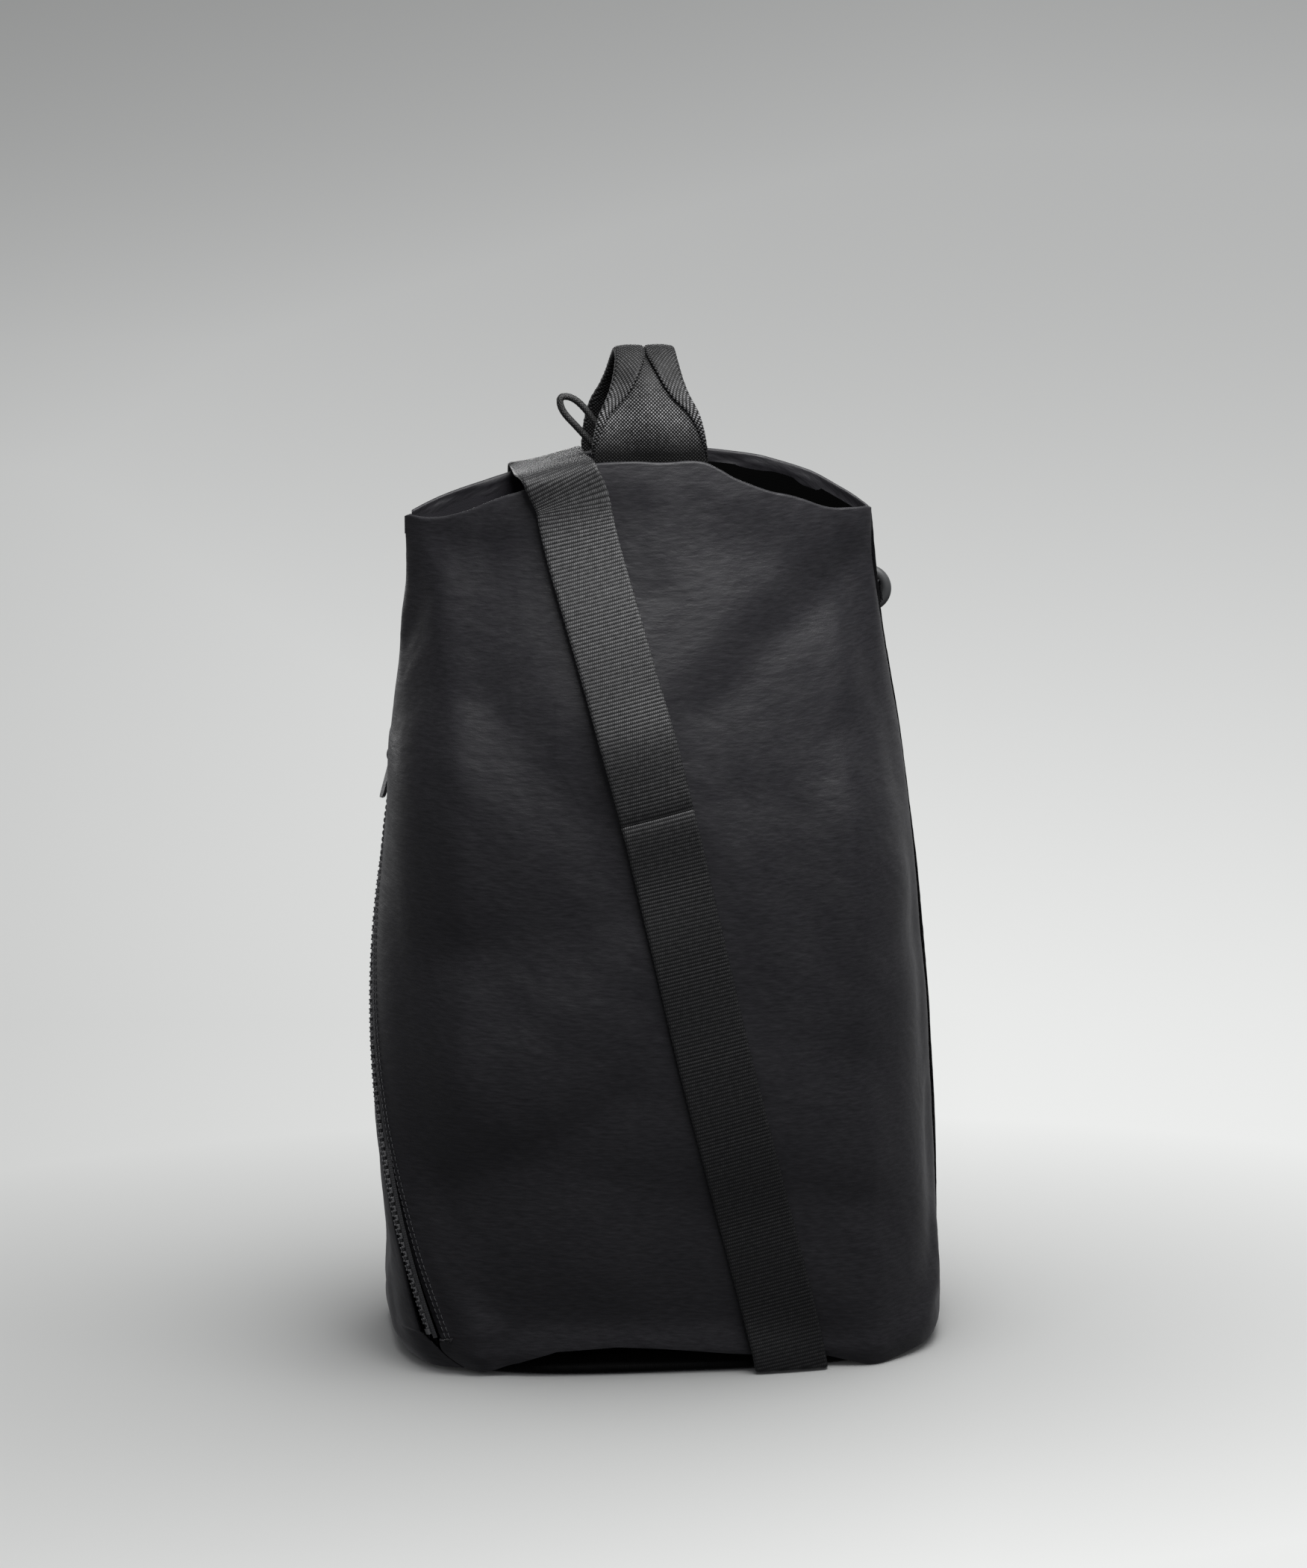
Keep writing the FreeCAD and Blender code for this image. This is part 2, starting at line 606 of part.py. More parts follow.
def keyhole_tab(centre, hold, width, across, aim, length, thickness):
    """Webbing folded round a bar: an eye and two flat layers side by side, drawn along across."""
    outer_radius = hold + thickness
    start = centre - across * (width / 2)
    tube = Part.makeCylinder(outer_radius, width, start, across)
    side = across.cross(aim)
    gap = 0.1
    layers = []
    for sign in (-1, 1):
        middle = side * (sign * (gap + thickness / 2))
        half = side * (thickness / 2)
        a = start + middle - half + aim * (hold * 0.8)
        b = start + middle + half + aim * (hold * 0.8)
        corners = [a, b, b + aim * length, a + aim * length, a]
        layers.append(Part.Face(Part.makePolygon(corners)).extrude(across * width))
    hollow = Part.makeCylinder(hold, width, start, across)
    return tube.fuse(layers).cut(hollow).removeSplitter()


def strap_ring_tab():
    """Short tab from the foot of the back panel up to the lower ring."""
    low = eye_centre() - V(0, 0, OVAL_REACH)
    aim = V(0, -0.30, -1.0).normalize()
    return keyhole_tab(low, OVAL_WIRE + 0.4, STRAP_WIDTH, V(1, 0, 0), aim, RING_TAB_LENGTH, WEBBING)


def ring_frame():
    """Placement of the side ring: z along its bar, x towards its bow."""
    turn = FreeCAD.Rotation(V(0, 0, 1), RING_AIM * 180 / pi)
    lean = FreeCAD.Rotation(V(0, 1, 0), -RING_TILT)
    return FreeCAD.Placement(RING_BAR, lean.multiply(turn))


def side_ring():
    """Round-wire ring with a straight bar and a half-round bow."""
    bow = Part.makeTorus(RING_HALF_BAR, RING_WIRE, V(RING_LEG, 0, 0), V(0, 1, 0))
    bow = bow.common(Part.makeBox(40, 40, 60, V(RING_LEG, -20, -30)))
    top, low = V(0, 0, RING_HALF_BAR), V(0, 0, -RING_HALF_BAR)
    leg = V(RING_LEG, 0, 0)
    pieces = [rod(low, top, RING_WIRE)]
    pieces += [Part.makeCylinder(RING_WIRE, RING_LEG, p, leg) for p in (low, top)]
    return placed(bow.fuse(pieces).removeSplitter(), ring_frame())


def side_ring_tab():
    aim = V(cos(TAB_AIM - RING_AIM), sin(TAB_AIM - RING_AIM), 0)
    tab = keyhole_tab(V(0, 0, 0), RING_WIRE + 0.2, TAB_WIDTH, V(0, 0, 1), aim, TAB_LENGTH, TAB_WEBBING)
    return placed(tab, ring_frame())


# ---- grab handle ----
def grab_handle():
    """Webbing arch across the mouth, folded to half its width at the top."""
    middle = (HANDLE_FRONT_Y + HANDLE_BACK_Y) / 2
    half = (HANDLE_BACK_Y - HANDLE_FRONT_Y) / 2
    rise = HANDLE_TOP - WEBBING - HANDLE_SHOULDER
    straight = (HANDLE_LOW,) + HANDLE_STRAIGHT
    profile = [(HANDLE_FRONT_Y, z) for z in straight]
    steps = HANDLE_STEPS
    for k in range(steps + 1):
        turn = pi * k / steps
        profile.append((middle - half * cos(turn), HANDLE_SHOULDER + rise * sin(turn)))
    profile += [(HANDLE_BACK_Y, z) for z in reversed(straight)]
    path, widths = [], []
    for y, z in profile:
        path.append(V(HANDLE_X, y, z))
        share = max(0.0, (z - HANDLE_SHOULDER) / rise)
        widths.append(HANDLE_WIDTH - (HANDLE_WIDTH - HANDLE_TOP_WIDTH) * share**HANDLE_TAPER)
    return ribbon(framed(path, [V(1, 0, 0)] * len(path)), widths, WEBBING)


def handle_end(side):
    """The sewn end of the handle: inside the front rim, outside the back rim."""
    lift = WEBBING + HANDLE_END_GAP
    y = HANDLE_FRONT_Y - lift if side < 0 else HANDLE_BACK_Y - lift
    return box(HANDLE_WIDTH, WEBBING, SEWN_HIGH - SEWN_LOW, HANDLE_X, y, (SEWN_HIGH + SEWN_LOW) / 2)


# ---- assembly ----
def mouth_zip():
    slider_place = FreeCAD.Placement(V(MOUTH_SLIDER_X, 0, MOUTH_ZIP_LEVEL), FreeCAD.Rotation())
    length = MOUTH_ZIP_RIGHT - MOUTH_ZIP_LEFT - 2 * CHAIN_INSET
    count = int(length / TOOTH_PITCH) - 1
    return {
        "mouth_facing_front": mouth_facing(-1),
        "mouth_facing_back": mouth_facing(1),
        "mouth_zip_tape_front": mouth_tape(-1),
        "mouth_zip_tape_back": mouth_tape(1),
        "mouth_zip_teeth": teeth(mouth_place, count),
        "mouth_zip_stops": stops(mouth_place, length),
        "mouth_zip_slider": placed(slider(), slider_place),
        "mouth_zip_pull_cord": at_mouth_pull(pull_cord(MOUTH_PULL, MOUTH_PULL_LENGTH)),
        "mouth_zip_pull_sleeve": at_mouth_pull(pull_sleeve(MOUTH_PULL)),
    }


def side_place(s):
    return zip_frame((s + CHAIN_INSET) / ZIP_RADIUS)


def side_zip():
    length = ZIP_SWEEP * ZIP_RADIUS - 2 * CHAIN_INSET
    count = int(length / TOOTH_PITCH) - 1
    half = TAPE / 2
    return {
        "side_zip_tape_front": zip_band(TAPE_INNER, SIDE_TAPE_OUTER, -half, half),
        "side_zip_tape_back": zip_band(-SIDE_TAPE_OUTER, -TAPE_INNER, -half, half),
        "side_zip_teeth": teeth(side_place, count),
        "side_zip_stops": stops(side_place, length),
        "side_zip_slider": placed(slider(), zip_frame(zip_turn(SIDE_SLIDER_HEIGHT))),
        "side_zip_pull_tab": at_side_pull(pull_tab()),
    }


def build():
    front, back = shell_panels()
    nodes = {
        "front_panel": front,
        "back_panel": back,
        "base_panel": base_panel(),
        "base_board": base_board(),
        "lining": lining(),
        "shoulder_strap": shoulder_strap(),
        "strap_adjuster": strap_adjuster(),
        "strap_ring": strap_ring(),
        "strap_ring_tab": strap_ring_tab(),
        "side_ring": side_ring(),
        "side_ring_tab": side_ring_tab(),
        "grab_handle": grab_handle(),
        "handle_end_front": handle_end(-1),
        "handle_end_back": handle_end(1),
    }
    nodes.update(mouth_zip())
    nodes.update(side_zip())
    return nodes


if __name__ == "__main__":
    os.makedirs("parts", exist_ok=True)
    for name, shape in build().items():
        shape.exportStep(f"parts/{name}.step")
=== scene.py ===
from math import atan2, cos, pi, radians, sin

import bpy
import bmesh
import numpy as np
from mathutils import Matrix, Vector
from mathutils.bvhtree import BVHTree


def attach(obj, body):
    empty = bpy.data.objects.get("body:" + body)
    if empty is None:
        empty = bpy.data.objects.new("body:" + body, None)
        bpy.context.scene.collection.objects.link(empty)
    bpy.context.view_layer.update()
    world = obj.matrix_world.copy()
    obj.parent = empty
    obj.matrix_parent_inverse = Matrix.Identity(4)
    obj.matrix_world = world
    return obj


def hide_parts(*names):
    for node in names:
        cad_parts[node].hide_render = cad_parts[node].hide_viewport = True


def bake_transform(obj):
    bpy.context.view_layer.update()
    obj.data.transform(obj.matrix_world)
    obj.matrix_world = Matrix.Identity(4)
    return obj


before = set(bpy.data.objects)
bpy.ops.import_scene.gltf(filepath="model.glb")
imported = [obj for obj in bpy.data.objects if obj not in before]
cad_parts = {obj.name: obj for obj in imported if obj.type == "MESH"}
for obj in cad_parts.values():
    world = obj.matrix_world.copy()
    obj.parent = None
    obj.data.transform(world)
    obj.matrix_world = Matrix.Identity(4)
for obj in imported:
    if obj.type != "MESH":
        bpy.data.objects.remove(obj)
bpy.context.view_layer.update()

# Shapes are in millimetres in the CAD frame; MM turns them into Blender's metres.
MM = 0.001
UP = np.array((0.0, 0.0, 1.0))
RIGHT = np.array((1.0, 0.0, 0.0))
SIDES = ((-1, "front"), (1, "back"))


# ---- mesh helpers
def add_object(name, verts, faces, material, body, uv=None, replaces=(), slot=None):
    """Smooth mesh object from millimetre points; uv is the place on the flat cloth in millimetres."""
    mesh = bpy.data.meshes.new(name)
    mesh.from_pydata((np.asarray(verts) * MM).tolist(), [], [tuple(int(i) for i in f) for f in faces])
    mesh.polygons.foreach_set("use_smooth", [True] * len(mesh.polygons))
    if uv is not None:
        layer = mesh.uv_layers.new(name="fabric")
        loops = np.zeros(len(mesh.loops), int)
        mesh.loops.foreach_get("vertex_index", loops)
        layer.data.foreach_set("uv", (np.asarray(uv)[loops] * MM).ravel())
    mesh.materials.append(material)
    obj = bpy.data.objects.new(name, mesh)
    bpy.context.scene.collection.objects.link(obj)
    if replaces:
        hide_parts(*replaces)
    if body:
        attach(obj, body)
    return obj


def grid_faces(rows, cols, wrap=False):
    """Quads of a grid whose points run row by row."""
    i, j = np.meshgrid(np.arange(rows - 1), np.arange(cols if wrap else cols - 1), indexing="ij")
    k = (j + 1) % cols
    return np.stack([i * cols + j, i * cols + k, (i + 1) * cols + k, (i + 1) * cols + j], -1).reshape(-1, 4)


def add_grid(name, points, material, body, uv=None, wrap=False, flip=False, **rest):
    """Sheet from a (rows, cols, 3) grid of points."""
    rows, cols = points.shape[:2]
    faces = grid_faces(rows, cols, wrap)
    if flip:
        faces = faces[:, ::-1]
    flat_uv = None if uv is None else uv.reshape(-1, 2)
    return add_object(name, points.reshape(-1, 3), faces, material, body, flat_uv, **rest)


def unit(v):
    return v / np.maximum(np.linalg.norm(v, axis=-1, keepdims=True), 1e-9)


def grid_normals(points):
    return unit(np.cross(np.gradient(points, axis=1), np.gradient(points, axis=0)))


def smoothstep(x, low, high):
    t = np.clip((x - low) / (high - low), 0, 1)
    return t * t * (3 - 2 * t)


def lengths_along(points):
    steps = np.linalg.norm(np.diff(points, axis=0), axis=-1)
    return np.concatenate([np.zeros((1,) + steps.shape[1:]), np.cumsum(steps, axis=0)])


def resample(points, count):
    length = lengths_along(points)
    s = np.linspace(0, length[-1], count)
    return np.stack([np.interp(s, length, points[:, k]) for k in range(points.shape[1])], -1)


def curve_through(points, count):
    """Smooth curve through a few points, resampled evenly."""
    p = np.asarray(points, float)
    p = np.vstack([2 * p[0] - p[1], p, 2 * p[-1] - p[-2]])
    fine = []
    t = np.linspace(0, 1, 40, endpoint=False)[:, None]
    for a, b, c, d in zip(p, p[1:], p[2:], p[3:]):
        bend, twist = 2 * a - 5 * b + 4 * c - d, 3 * b - a - 3 * c + d
        fine.append(b + 0.5 * ((c - a) * t + bend * t**2 + twist * t**3))
    return resample(np.vstack(fine + [p[-2][None]]), count)


def value_noise(x, y, seed):
    """Smooth noise between -1 and 1; one unit of x or y is one cell."""
    table = np.random.default_rng(seed).uniform(-1, 1, (128, 128))
    i, j = np.floor(x).astype(int), np.floor(y).astype(int)
    fx, fy = ((f * f * f * (f * (6 * f - 15) + 10)) for f in (x - i, y - j))
    low = table[i % 128, j % 128] * (1 - fx) + table[(i + 1) % 128, j % 128] * fx
    high = table[i % 128, (j + 1) % 128] * (1 - fx) + table[(i + 1) % 128, (j + 1) % 128] * fx
    return low * (1 - fy) + high * fy


def blur(field, radius, axis):
    """Gaussian blur of a field along one axis."""
    reach = int(3 * radius) + 1
    weights = np.exp(-0.5 * (np.arange(-reach, reach + 1) / radius) ** 2)
    pad = [(0, 0)] * field.ndim
    pad[axis] = (reach, reach)
    wide = np.pad(field, pad, mode="edge")
    return np.apply_along_axis(lambda line: np.convolve(line, weights / weights.sum(), "valid"), axis, wide)


# ---- body outline
# height, half width, half depth, lean to +X, corner exponent across, exponent in depth (as the CAD shell)
LEVELS = np.array((
    (0.0, 141.0, 84.0, 3.0, 3.2, 3.2),
    (12.0, 147.0, 88.0, 1.0, 3.1, 3.1),
    (40.0, 149.0, 90.0, 0.0, 3.0, 3.0),
    (110.0, 149.0, 91.0, -2.5, 2.8, 2.8),
    (210.0, 146.0, 86.0, -7.0, 2.6, 2.5),
    (315.0, 135.5, 70.0, -9.5, 2.4, 2.1),
    (404.0, 121.5, 42.0, -10.0, 2.1, 1.4),
    (466.0, 119.5, 25.0, -13.0, 2.0, 1.0),
))
RIM_TOP = LEVELS[-1, 0]
EAR_LEFT, EAR_RIGHT, EAR_HEIGHT = -132.5, 106.5, 437.5
FRONT_RIM = ((EAR_LEFT, EAR_HEIGHT), (-110, 439), (-71, 453), (-50, 461.8), (-34, 465.4), (-8, 466),
             (18, 465.4), (29, 461.5), (41, 455), (80, 441), (96, 438), (EAR_RIGHT, EAR_HEIGHT))
BACK_RIM = ((EAR_LEFT, EAR_HEIGHT), (-100, 448), (-39, 464), (0, 466), (30, 465.2), (68, 459), (94, 446),
            (EAR_RIGHT, EAR_HEIGHT))


def levels_at(z):
    """Outline values at heights z, smooth between the levels."""
    z = np.clip(z, LEVELS[0, 0], RIM_TOP)
    h, v = LEVELS[:, 0], LEVELS[:, 1:]
    slope = np.empty_like(v)
    slope[1:-1] = (v[2:] - v[:-2]) / (h[2:] - h[:-2])[:, None]
    slope[0], slope[-1] = (v[1] - v[0]) / (h[1] - h[0]), (v[-1] - v[-2]) / (h[-1] - h[-2])
    i = np.clip(np.searchsorted(h, z, side="right") - 1, 0, len(h) - 2)
    step = (h[i + 1] - h[i])[..., None]
    t = (z - h[i])[..., None] / step
    return (v[i] * (1 + 2 * t) * (1 - t) ** 2 + slope[i] * step * t * (1 - t) ** 2
            + v[i + 1] * t * t * (3 - 2 * t) + slope[i + 1] * step * t * t * (t - 1))


def wall_point(turn, z):
    """Point of the outline: turn 0 is the right seam, pi the left ear, then round by the back."""
    half_width, half_depth, lean, across, deep = np.moveaxis(levels_at(z), -1, 0)
    c, s = np.cos(turn), np.sin(turn)
    x = lean + half_width * np.sign(c) * np.abs(c) ** (2 / across)
    y = -half_depth * np.sign(s) * np.abs(s) ** (2 / deep)
    return np.stack([x, y, z + 0 * x], -1)


def wall_y(x, z):
    """Half depth of the plain outline at a place across the bag."""
    half_width, half_depth, lean, across, deep = np.moveaxis(levels_at(np.asarray(z, float)), -1, 0)
    u = np.clip(np.abs(x - lean) / half_width, 0, 1)
    return half_depth * (1 - u**across) ** (1 / deep)


def wall_x(y, z):
    """The left wall's place across the bag at a depth."""
    half_width, half_depth, lean, across, deep = np.moveaxis(levels_at(np.asarray(z, float)), -1, 0)
    u = np.clip(np.abs(y) / half_depth, 0, 1)
    return lean - half_width * (1 - u**deep) ** (1 / across)


def rim_height(points, x):
    line = curve_through(points, 400)
    return np.interp(x, line[:, 0], line[:, 1])


# ---- the side zip's circle
ZIP_LOW, ZIP_HIGH = 20.0, 322.0
# depth and height of the three places on the left wall that the zip's circle passes through
ZIP_PLACES = ((-65.0, ZIP_LOW), (-24.0, 155.0), (38.0, ZIP_HIGH))


def zip_circle():
    """Centre, radius, axis and starting direction of the circle through the three places."""
    a, b, c = (np.array((float(wall_x(y, z)), y, z)) for y, z in ZIP_PLACES)
    ab, ac = b - a, c - a
    normal = np.cross(ab, ac)
    offset = np.cross(normal, ab) * ac.dot(ac) + np.cross(ac, normal) * ab.dot(ab)
    offset = offset / (2 * normal.dot(normal))
    return a + offset, np.linalg.norm(offset), unit(normal), unit(-offset)


ZIP_CENTRE, ZIP_RADIUS, ZIP_AXIS, ZIP_START = zip_circle()


def zip_frame(turn):
    """Place on the side zip and its directions: up the chain, across it towards the back, outward."""
    out = ZIP_START * cos(turn) + np.cross(ZIP_AXIS, ZIP_START) * sin(turn)
    along = np.cross(ZIP_AXIS, out)
    return ZIP_CENTRE + out * ZIP_RADIUS, along, np.cross(out, along), out


def zip_turn(height):
    """Turn at which the zip reaches a height, by halving."""
    low, high = 0.0, 1.0
    for _ in range(50):
        middle = (low + high) / 2
        low, high = (middle, high) if zip_frame(middle)[0][2] < height else (low, middle)
    return low


ZIP_SWEEP = zip_turn(ZIP_HIGH)
ZIP_LINE = np.array([zip_frame(t)[0] for t in np.linspace(0, ZIP_SWEEP, 200)])
# the left seam's depth at each height: along the zip, then round to the ear
SEAM_Z = np.concatenate([(0.0,), ZIP_LINE[:, 2], (350.0, 400.0, 470.0)])
SEAM_Y = np.concatenate([(-71.0,), ZIP_LINE[:, 1], (33.0, 7.0, 0.0)])


def seam_turn(z):
    """Turn at which the left seam stands at height z."""
    depth = np.interp(z, SEAM_Z, SEAM_Y)
    values = levels_at(z)
    share = np.clip(np.abs(depth) / values[..., 1], 0, 1)
    return pi + np.sign(depth) * np.arcsin(share ** (values[..., 4] / 2))


# ---- folds of the shell
def distance_to_path(x, z, path):
    """Distance to a polyline, the share along it of the nearest point and how far it lies above (-1 to 1)."""
    best = np.full(np.shape(x), np.inf)
    share, above = np.zeros(np.shape(x)), np.zeros(np.shape(x))
    count = len(path) - 1
    for k in range(count):
        (ax, az), (bx, bz) = path[k], path[k + 1]
        dx, dz = bx - ax, bz - az
        t = np.clip(((x - ax) * dx + (z - az) * dz) / (dx * dx + dz * dz), 0, 1)
        d = np.hypot(x - ax - t * dx, z - az - t * dz)
        closer = d < best
        share = np.where(closer, (k + t) / count, share)
        above = np.where(closer, (z - az - t * dz) / (d + 4.0), above)
        best = np.minimum(best, d)
    return best, share, above


# path as (x, height); height of the fold at its start and end; width above it; roundness
FRONT_RIDGES = (
    (((-124, 436), (-116, 404), (-111, 350), (-109, 280), (-110, 217), (-112, 100), (-104, 2)),
     4.5, 4.5, 14, 6.0),
    (((101, 434), (92, 372), (94, 306), (98, 211), (104, 93), (103, 0)), 3.0, 6.0, 14, 5.0),
    (((-80, 12), (-40, 14), (20, 12), (74, 8)), -7.0, -5.0, 14, 6.0),
)
FRONT_FOLDS = (
    (((106, 414), (78, 392), (40, 363), (10, 338)), -9.0, -3.0, 12, 4.0),
    (((70, 416), (36, 392), (8, 366)), 2.5, 1.5, 12, 6.0),
    (((98, 330), (66, 312), (20, 298)), -5.0, -2.5, 14, 5.0),
    (((66, 330), (64, 290), (72, 230)), -5.0, -4.0, 12, 5.0),
    (((-114, 222), (-70, 230), (-20, 246)), -6.5, -2.5, 13, 4.0),
    (((-118, 98), (-70, 116), (-26, 150)), -9.0, -4.5, 13, 4.0),
    (((-50, 108), (-14, 94), (22, 86)), -6.0, -6.0, 11, 4.0),
    (((-100, 160), (-60, 184), (-20, 214)), 2.5, 1.5, 20, 9.0),
    (((-124, 30), (-57, 26), (30, 20)), -4.5, -2.5, 13, 5.0),
    (((30, 84), (62, 92), (106, 84)), -4.0, -4.6, 13, 5.0),
    (((36, 196), (72, 170), (100, 160)), -4.0, -5.0, 14, 5.0),
    (((-96, 350), (-70, 318), (-44, 280)), -5.5, -3.5, 15, 6.0),
    (((-120, 430), (-125, 404), (-128, 388)), -6.5, -1.5, 9, 3.0),
    (((132, 210), (140, 180), (138, 140)), -5.0, -3.0, 22, 8.0),
    (((118, 330), (122, 250), (128, 190)), 2.0, 1.0, 9, 4.0),
)
BACK_RIDGES = (
    (((-118, 432), (-112, 380), (-112, 300), (-116, 180), (-112, 60), (-106, 2)), 2.6, 6.5, 18, 4.0),
    (((99, 432), (90, 360), (92, 280), (102, 160), (104, 20)), 2.6, 6.5, 18, 4.0),
)
BACK_FOLDS = (
    (((-152, 140), (-152, 80), (-148, 16)), -3.0, -6.0, 10, 5.0),
    (((-96, 410), (-40, 376), (0, 366)), -4.5, -1.2, 14, 4.0),
    (((90, 378), (40, 346), (-10, 330)), -4.5, -1.2, 14, 4.0),
    (((-108, 240), (-52, 224), (10, 238)), -4.0, -1.6, 16, 5.0),
    (((104, 200), (60, 176), (8, 170)), -4.5, -1.0, 15, 5.0),
    (((-100, 118), (-40, 98), (24, 104)), -4.5, -1.6, 15, 5.0),
    (((100, 68), (52, 54), (4, 60)), -4.0, -1.2, 14, 5.0),
    (((60, 300), (84, 250), (80, 200)), 3.0, 1.0, 16, 6.0),
    (((-84, 9), (-40, 12), (20, 12), (78, 8)), -3.0, -3.0, 10, 3.0),
)


def fold_field(x, z, folds, slack):
    """Sum of folds; below a fold the cloth eases back over slack times the width."""
    total = np.zeros(np.shape(x))
    for path, start, end, width, roundness in folds:
        d, share, above = distance_to_path(x, z, path)
        reach = width * (1 + (slack - 1) * (1 - above) / 2)
        total += (start + (end - start) * share) * np.exp((roundness - np.hypot(d, roundness)) / reach)
    return total


def soft_noise(u, z, seed):
    """Broad undulation of soft cloth."""
    broad = value_noise(u / 105 + 9.3, z / 120 + 3.1, seed) + 0.5 * value_noise(u / 48, z / 60, seed + 1)
    return 1.9 * broad + 0.55 * value_noise(u / 22, z / 25, seed + 2)


def crinkle(u, z, seed):
    """Short shallow creases of crinkled cloth, mostly lying across it."""
    drift = 7 * value_noise(u / 17, z / 17, seed)
    lines = value_noise(u / 9, (z + drift) / 3.6, seed + 1)
    lines = lines + 0.6 * value_noise(u / 4.5, (z + drift) / 2.4, seed + 2)
    upright = value_noise((u + drift) / 3.4, z / 12, seed + 4)
    strength = 0.5 + 0.5 * value_noise(u / 24, z / 20, seed + 3)
    return 0.11 * lines * strength + 0.07 * upright * (1 - strength)


# ---- materials
def new_material(name):
    material = bpy.data.materials.new(name)
    material.use_nodes = True
    tree = material.node_tree
    return material, tree, tree.nodes["Principled BSDF"]


def feed(tree, node, inputs):
    """Set a node's inputs, each to a value or to another node's output."""
    for label, value in inputs.items():
        if hasattr(value, "links"):
            tree.links.new(value, node.inputs[label])
        else:
            node.inputs[label].default_value = value
    return node


def add_node(tree, kind, inputs):
    return feed(tree, tree.nodes.new("ShaderNode" + kind), inputs)


def scaled_noise(tree, scale, detail, source="UV"):
    """Noise stretched by a scale in cells per metre of cloth."""
    place = tree.nodes.new("ShaderNodeTexCoord").outputs[source]
    stretched = add_node(tree, "Mapping", {0: place, "Scale": scale}).outputs[0]
    return add_node(tree, "TexNoise", {0: stretched, "Scale": 1.0, "Detail": detail}).outputs["Fac"]


def ramp(tree, value, low, high, dark, light):
    """Value mapped from low..high onto dark..light and held there beyond."""
    limits = {"From Min": low, "From Max": high, "To Min": dark, "To Max": light}
    return add_node(tree, "MapRange", {"Value": value, **limits}).outputs[0]


def blend_colours(tree, share, dark, light):
    node = tree.nodes.new("ShaderNodeMix")
    node.data_type = "RGBA"
    return feed(tree, node, {"Factor": share, "A": (*dark, 1), "B": (*light, 1)}).outputs["Result"]


def arithmetic(tree, operation, a, b=0.5):
    node = tree.nodes.new("ShaderNodeMath")
    node.operation = operation
    return feed(tree, node, {0: a, 1: b}).outputs[0]


def bumped(tree, surface, heights):
    """Stack of bumps: (value, distance in millimetres, strength)."""
    below = {}
    for value, distance, strength in heights:
        bump = {"Height": value, "Distance": distance * MM, "Strength": strength}
        below = {"Normal": add_node(tree, "Bump", {**bump, **below}).outputs[0]}
    feed(tree, surface, below)


def cloth_place(tree):
    """Place on the flat cloth in metres: across it, then along it."""
    flat = tree.nodes.new("ShaderNodeUVMap").outputs[0]
    return add_node(tree, "SeparateXYZ", {0: flat}).outputs


def plain(name, colour, rough):
    material, tree, surface = new_material(name)
    feed(tree, surface, {"Base Color": (*colour, 1), "Roughness": rough})
    return material


def moulded(name, colour, rough):
    """Plastic or enamel with a fine grain."""
    material, tree, surface = new_material(name)
    grain = scaled_noise(tree, (2500, 2500, 2500), 2, "Object")
    sheen = ramp(tree, grain, 0.3, 0.7, rough - 0.06, rough + 0.06)
    feed(tree, surface, {"Base Color": (*colour, 1), "Roughness": sheen})
    bumped(tree, surface, ((grain, 0.05, 0.25),))
    return material


def crinkled_nylon(name, dark, light, rough):
    """Thin nylon: slubs across it, soft creases, patches of more and less shine."""
    material, tree, surface = new_material(name)
    slub = scaled_noise(tree, (170, 800, 1), 3)
    crease = scaled_noise(tree, (110, 260, 1), 5)
    grain = scaled_noise(tree, (1500, 1500, 1), 1)
    patch = scaled_noise(tree, (45, 60, 1), 4)
    feed(tree, surface, {
        "Base Color": blend_colours(tree, ramp(tree, slub, 0.3, 0.7, 0, 1), dark, light),
        "Roughness": ramp(tree, patch, 0.3, 0.7, rough - 0.08, rough + 0.08),
        "Sheen Weight": 0.05,
        "Sheen Roughness": 0.4,
        "Specular IOR Level": 0.3,
    })
    bumped(tree, surface, ((crease, 0.8, 0.35), (slub, 0.25, 0.35), (grain, 0.1, 0.3)))
    return material


def weave_share(tree, rib, grain, slant):
    """0 in the grooves and 1 on the raised yarns: grains in ribs, or a diamond of slanting yarns."""
    place = cloth_place(tree)
    u = arithmetic(tree, "DIVIDE", place[0], grain * MM)
    v = arithmetic(tree, "DIVIDE", place[1], rib * MM)
    if slant:
        first, second = arithmetic(tree, "ADD", v, u), arithmetic(tree, "SUBTRACT", v, u)
    else:
        row = arithmetic(tree, "MODULO", arithmetic(tree, "FLOOR", v), 2.0)
        first, second = v, arithmetic(tree, "ADD", u, arithmetic(tree, "MULTIPLY", row, 0.5))
    waves = [arithmetic(tree, "ABSOLUTE", arithmetic(tree, "SINE", arithmetic(tree, "MULTIPLY", w, pi)))
             for w in (first, second)]
    return arithmetic(tree, "MULTIPLY", *waves)


def woven(name, dark, light, rough, rib=0.9, grain=0.9, slant=False, shine=0.35, painted_shading_along=()):
    """Woven cloth; the last argument lists (from, to, share, share) in millimetres along the webbing: painted
    light and shade that scale its colour along its length.
    """
    material, tree, surface = new_material(name)
    yarns = weave_share(tree, rib, grain, slant)
    if slant:
        yarns = ramp(tree, yarns, 0.35, 0.85, 0, 1)
    wear = scaled_noise(tree, (400, 400, 1), 3)
    share = arithmetic(tree, "MULTIPLY", yarns, ramp(tree, wear, 0.3, 0.7, 0.45, 1.2))
    along = cloth_place(tree)[1]
    # painted light and shade: ramps along the webbing scale its colour share
    for low, high, before, after in painted_shading_along:
        share = arithmetic(tree, "MULTIPLY", share, ramp(tree, along, low * MM, high * MM, before, after))
    colour = blend_colours(tree, share, dark, light)
    feed(tree, surface, {"Base Color": colour, "Roughness": rough, "Specular IOR Level": shine})
    bumped(tree, surface, ((yarns, 0.2, 0.5),))
    return material


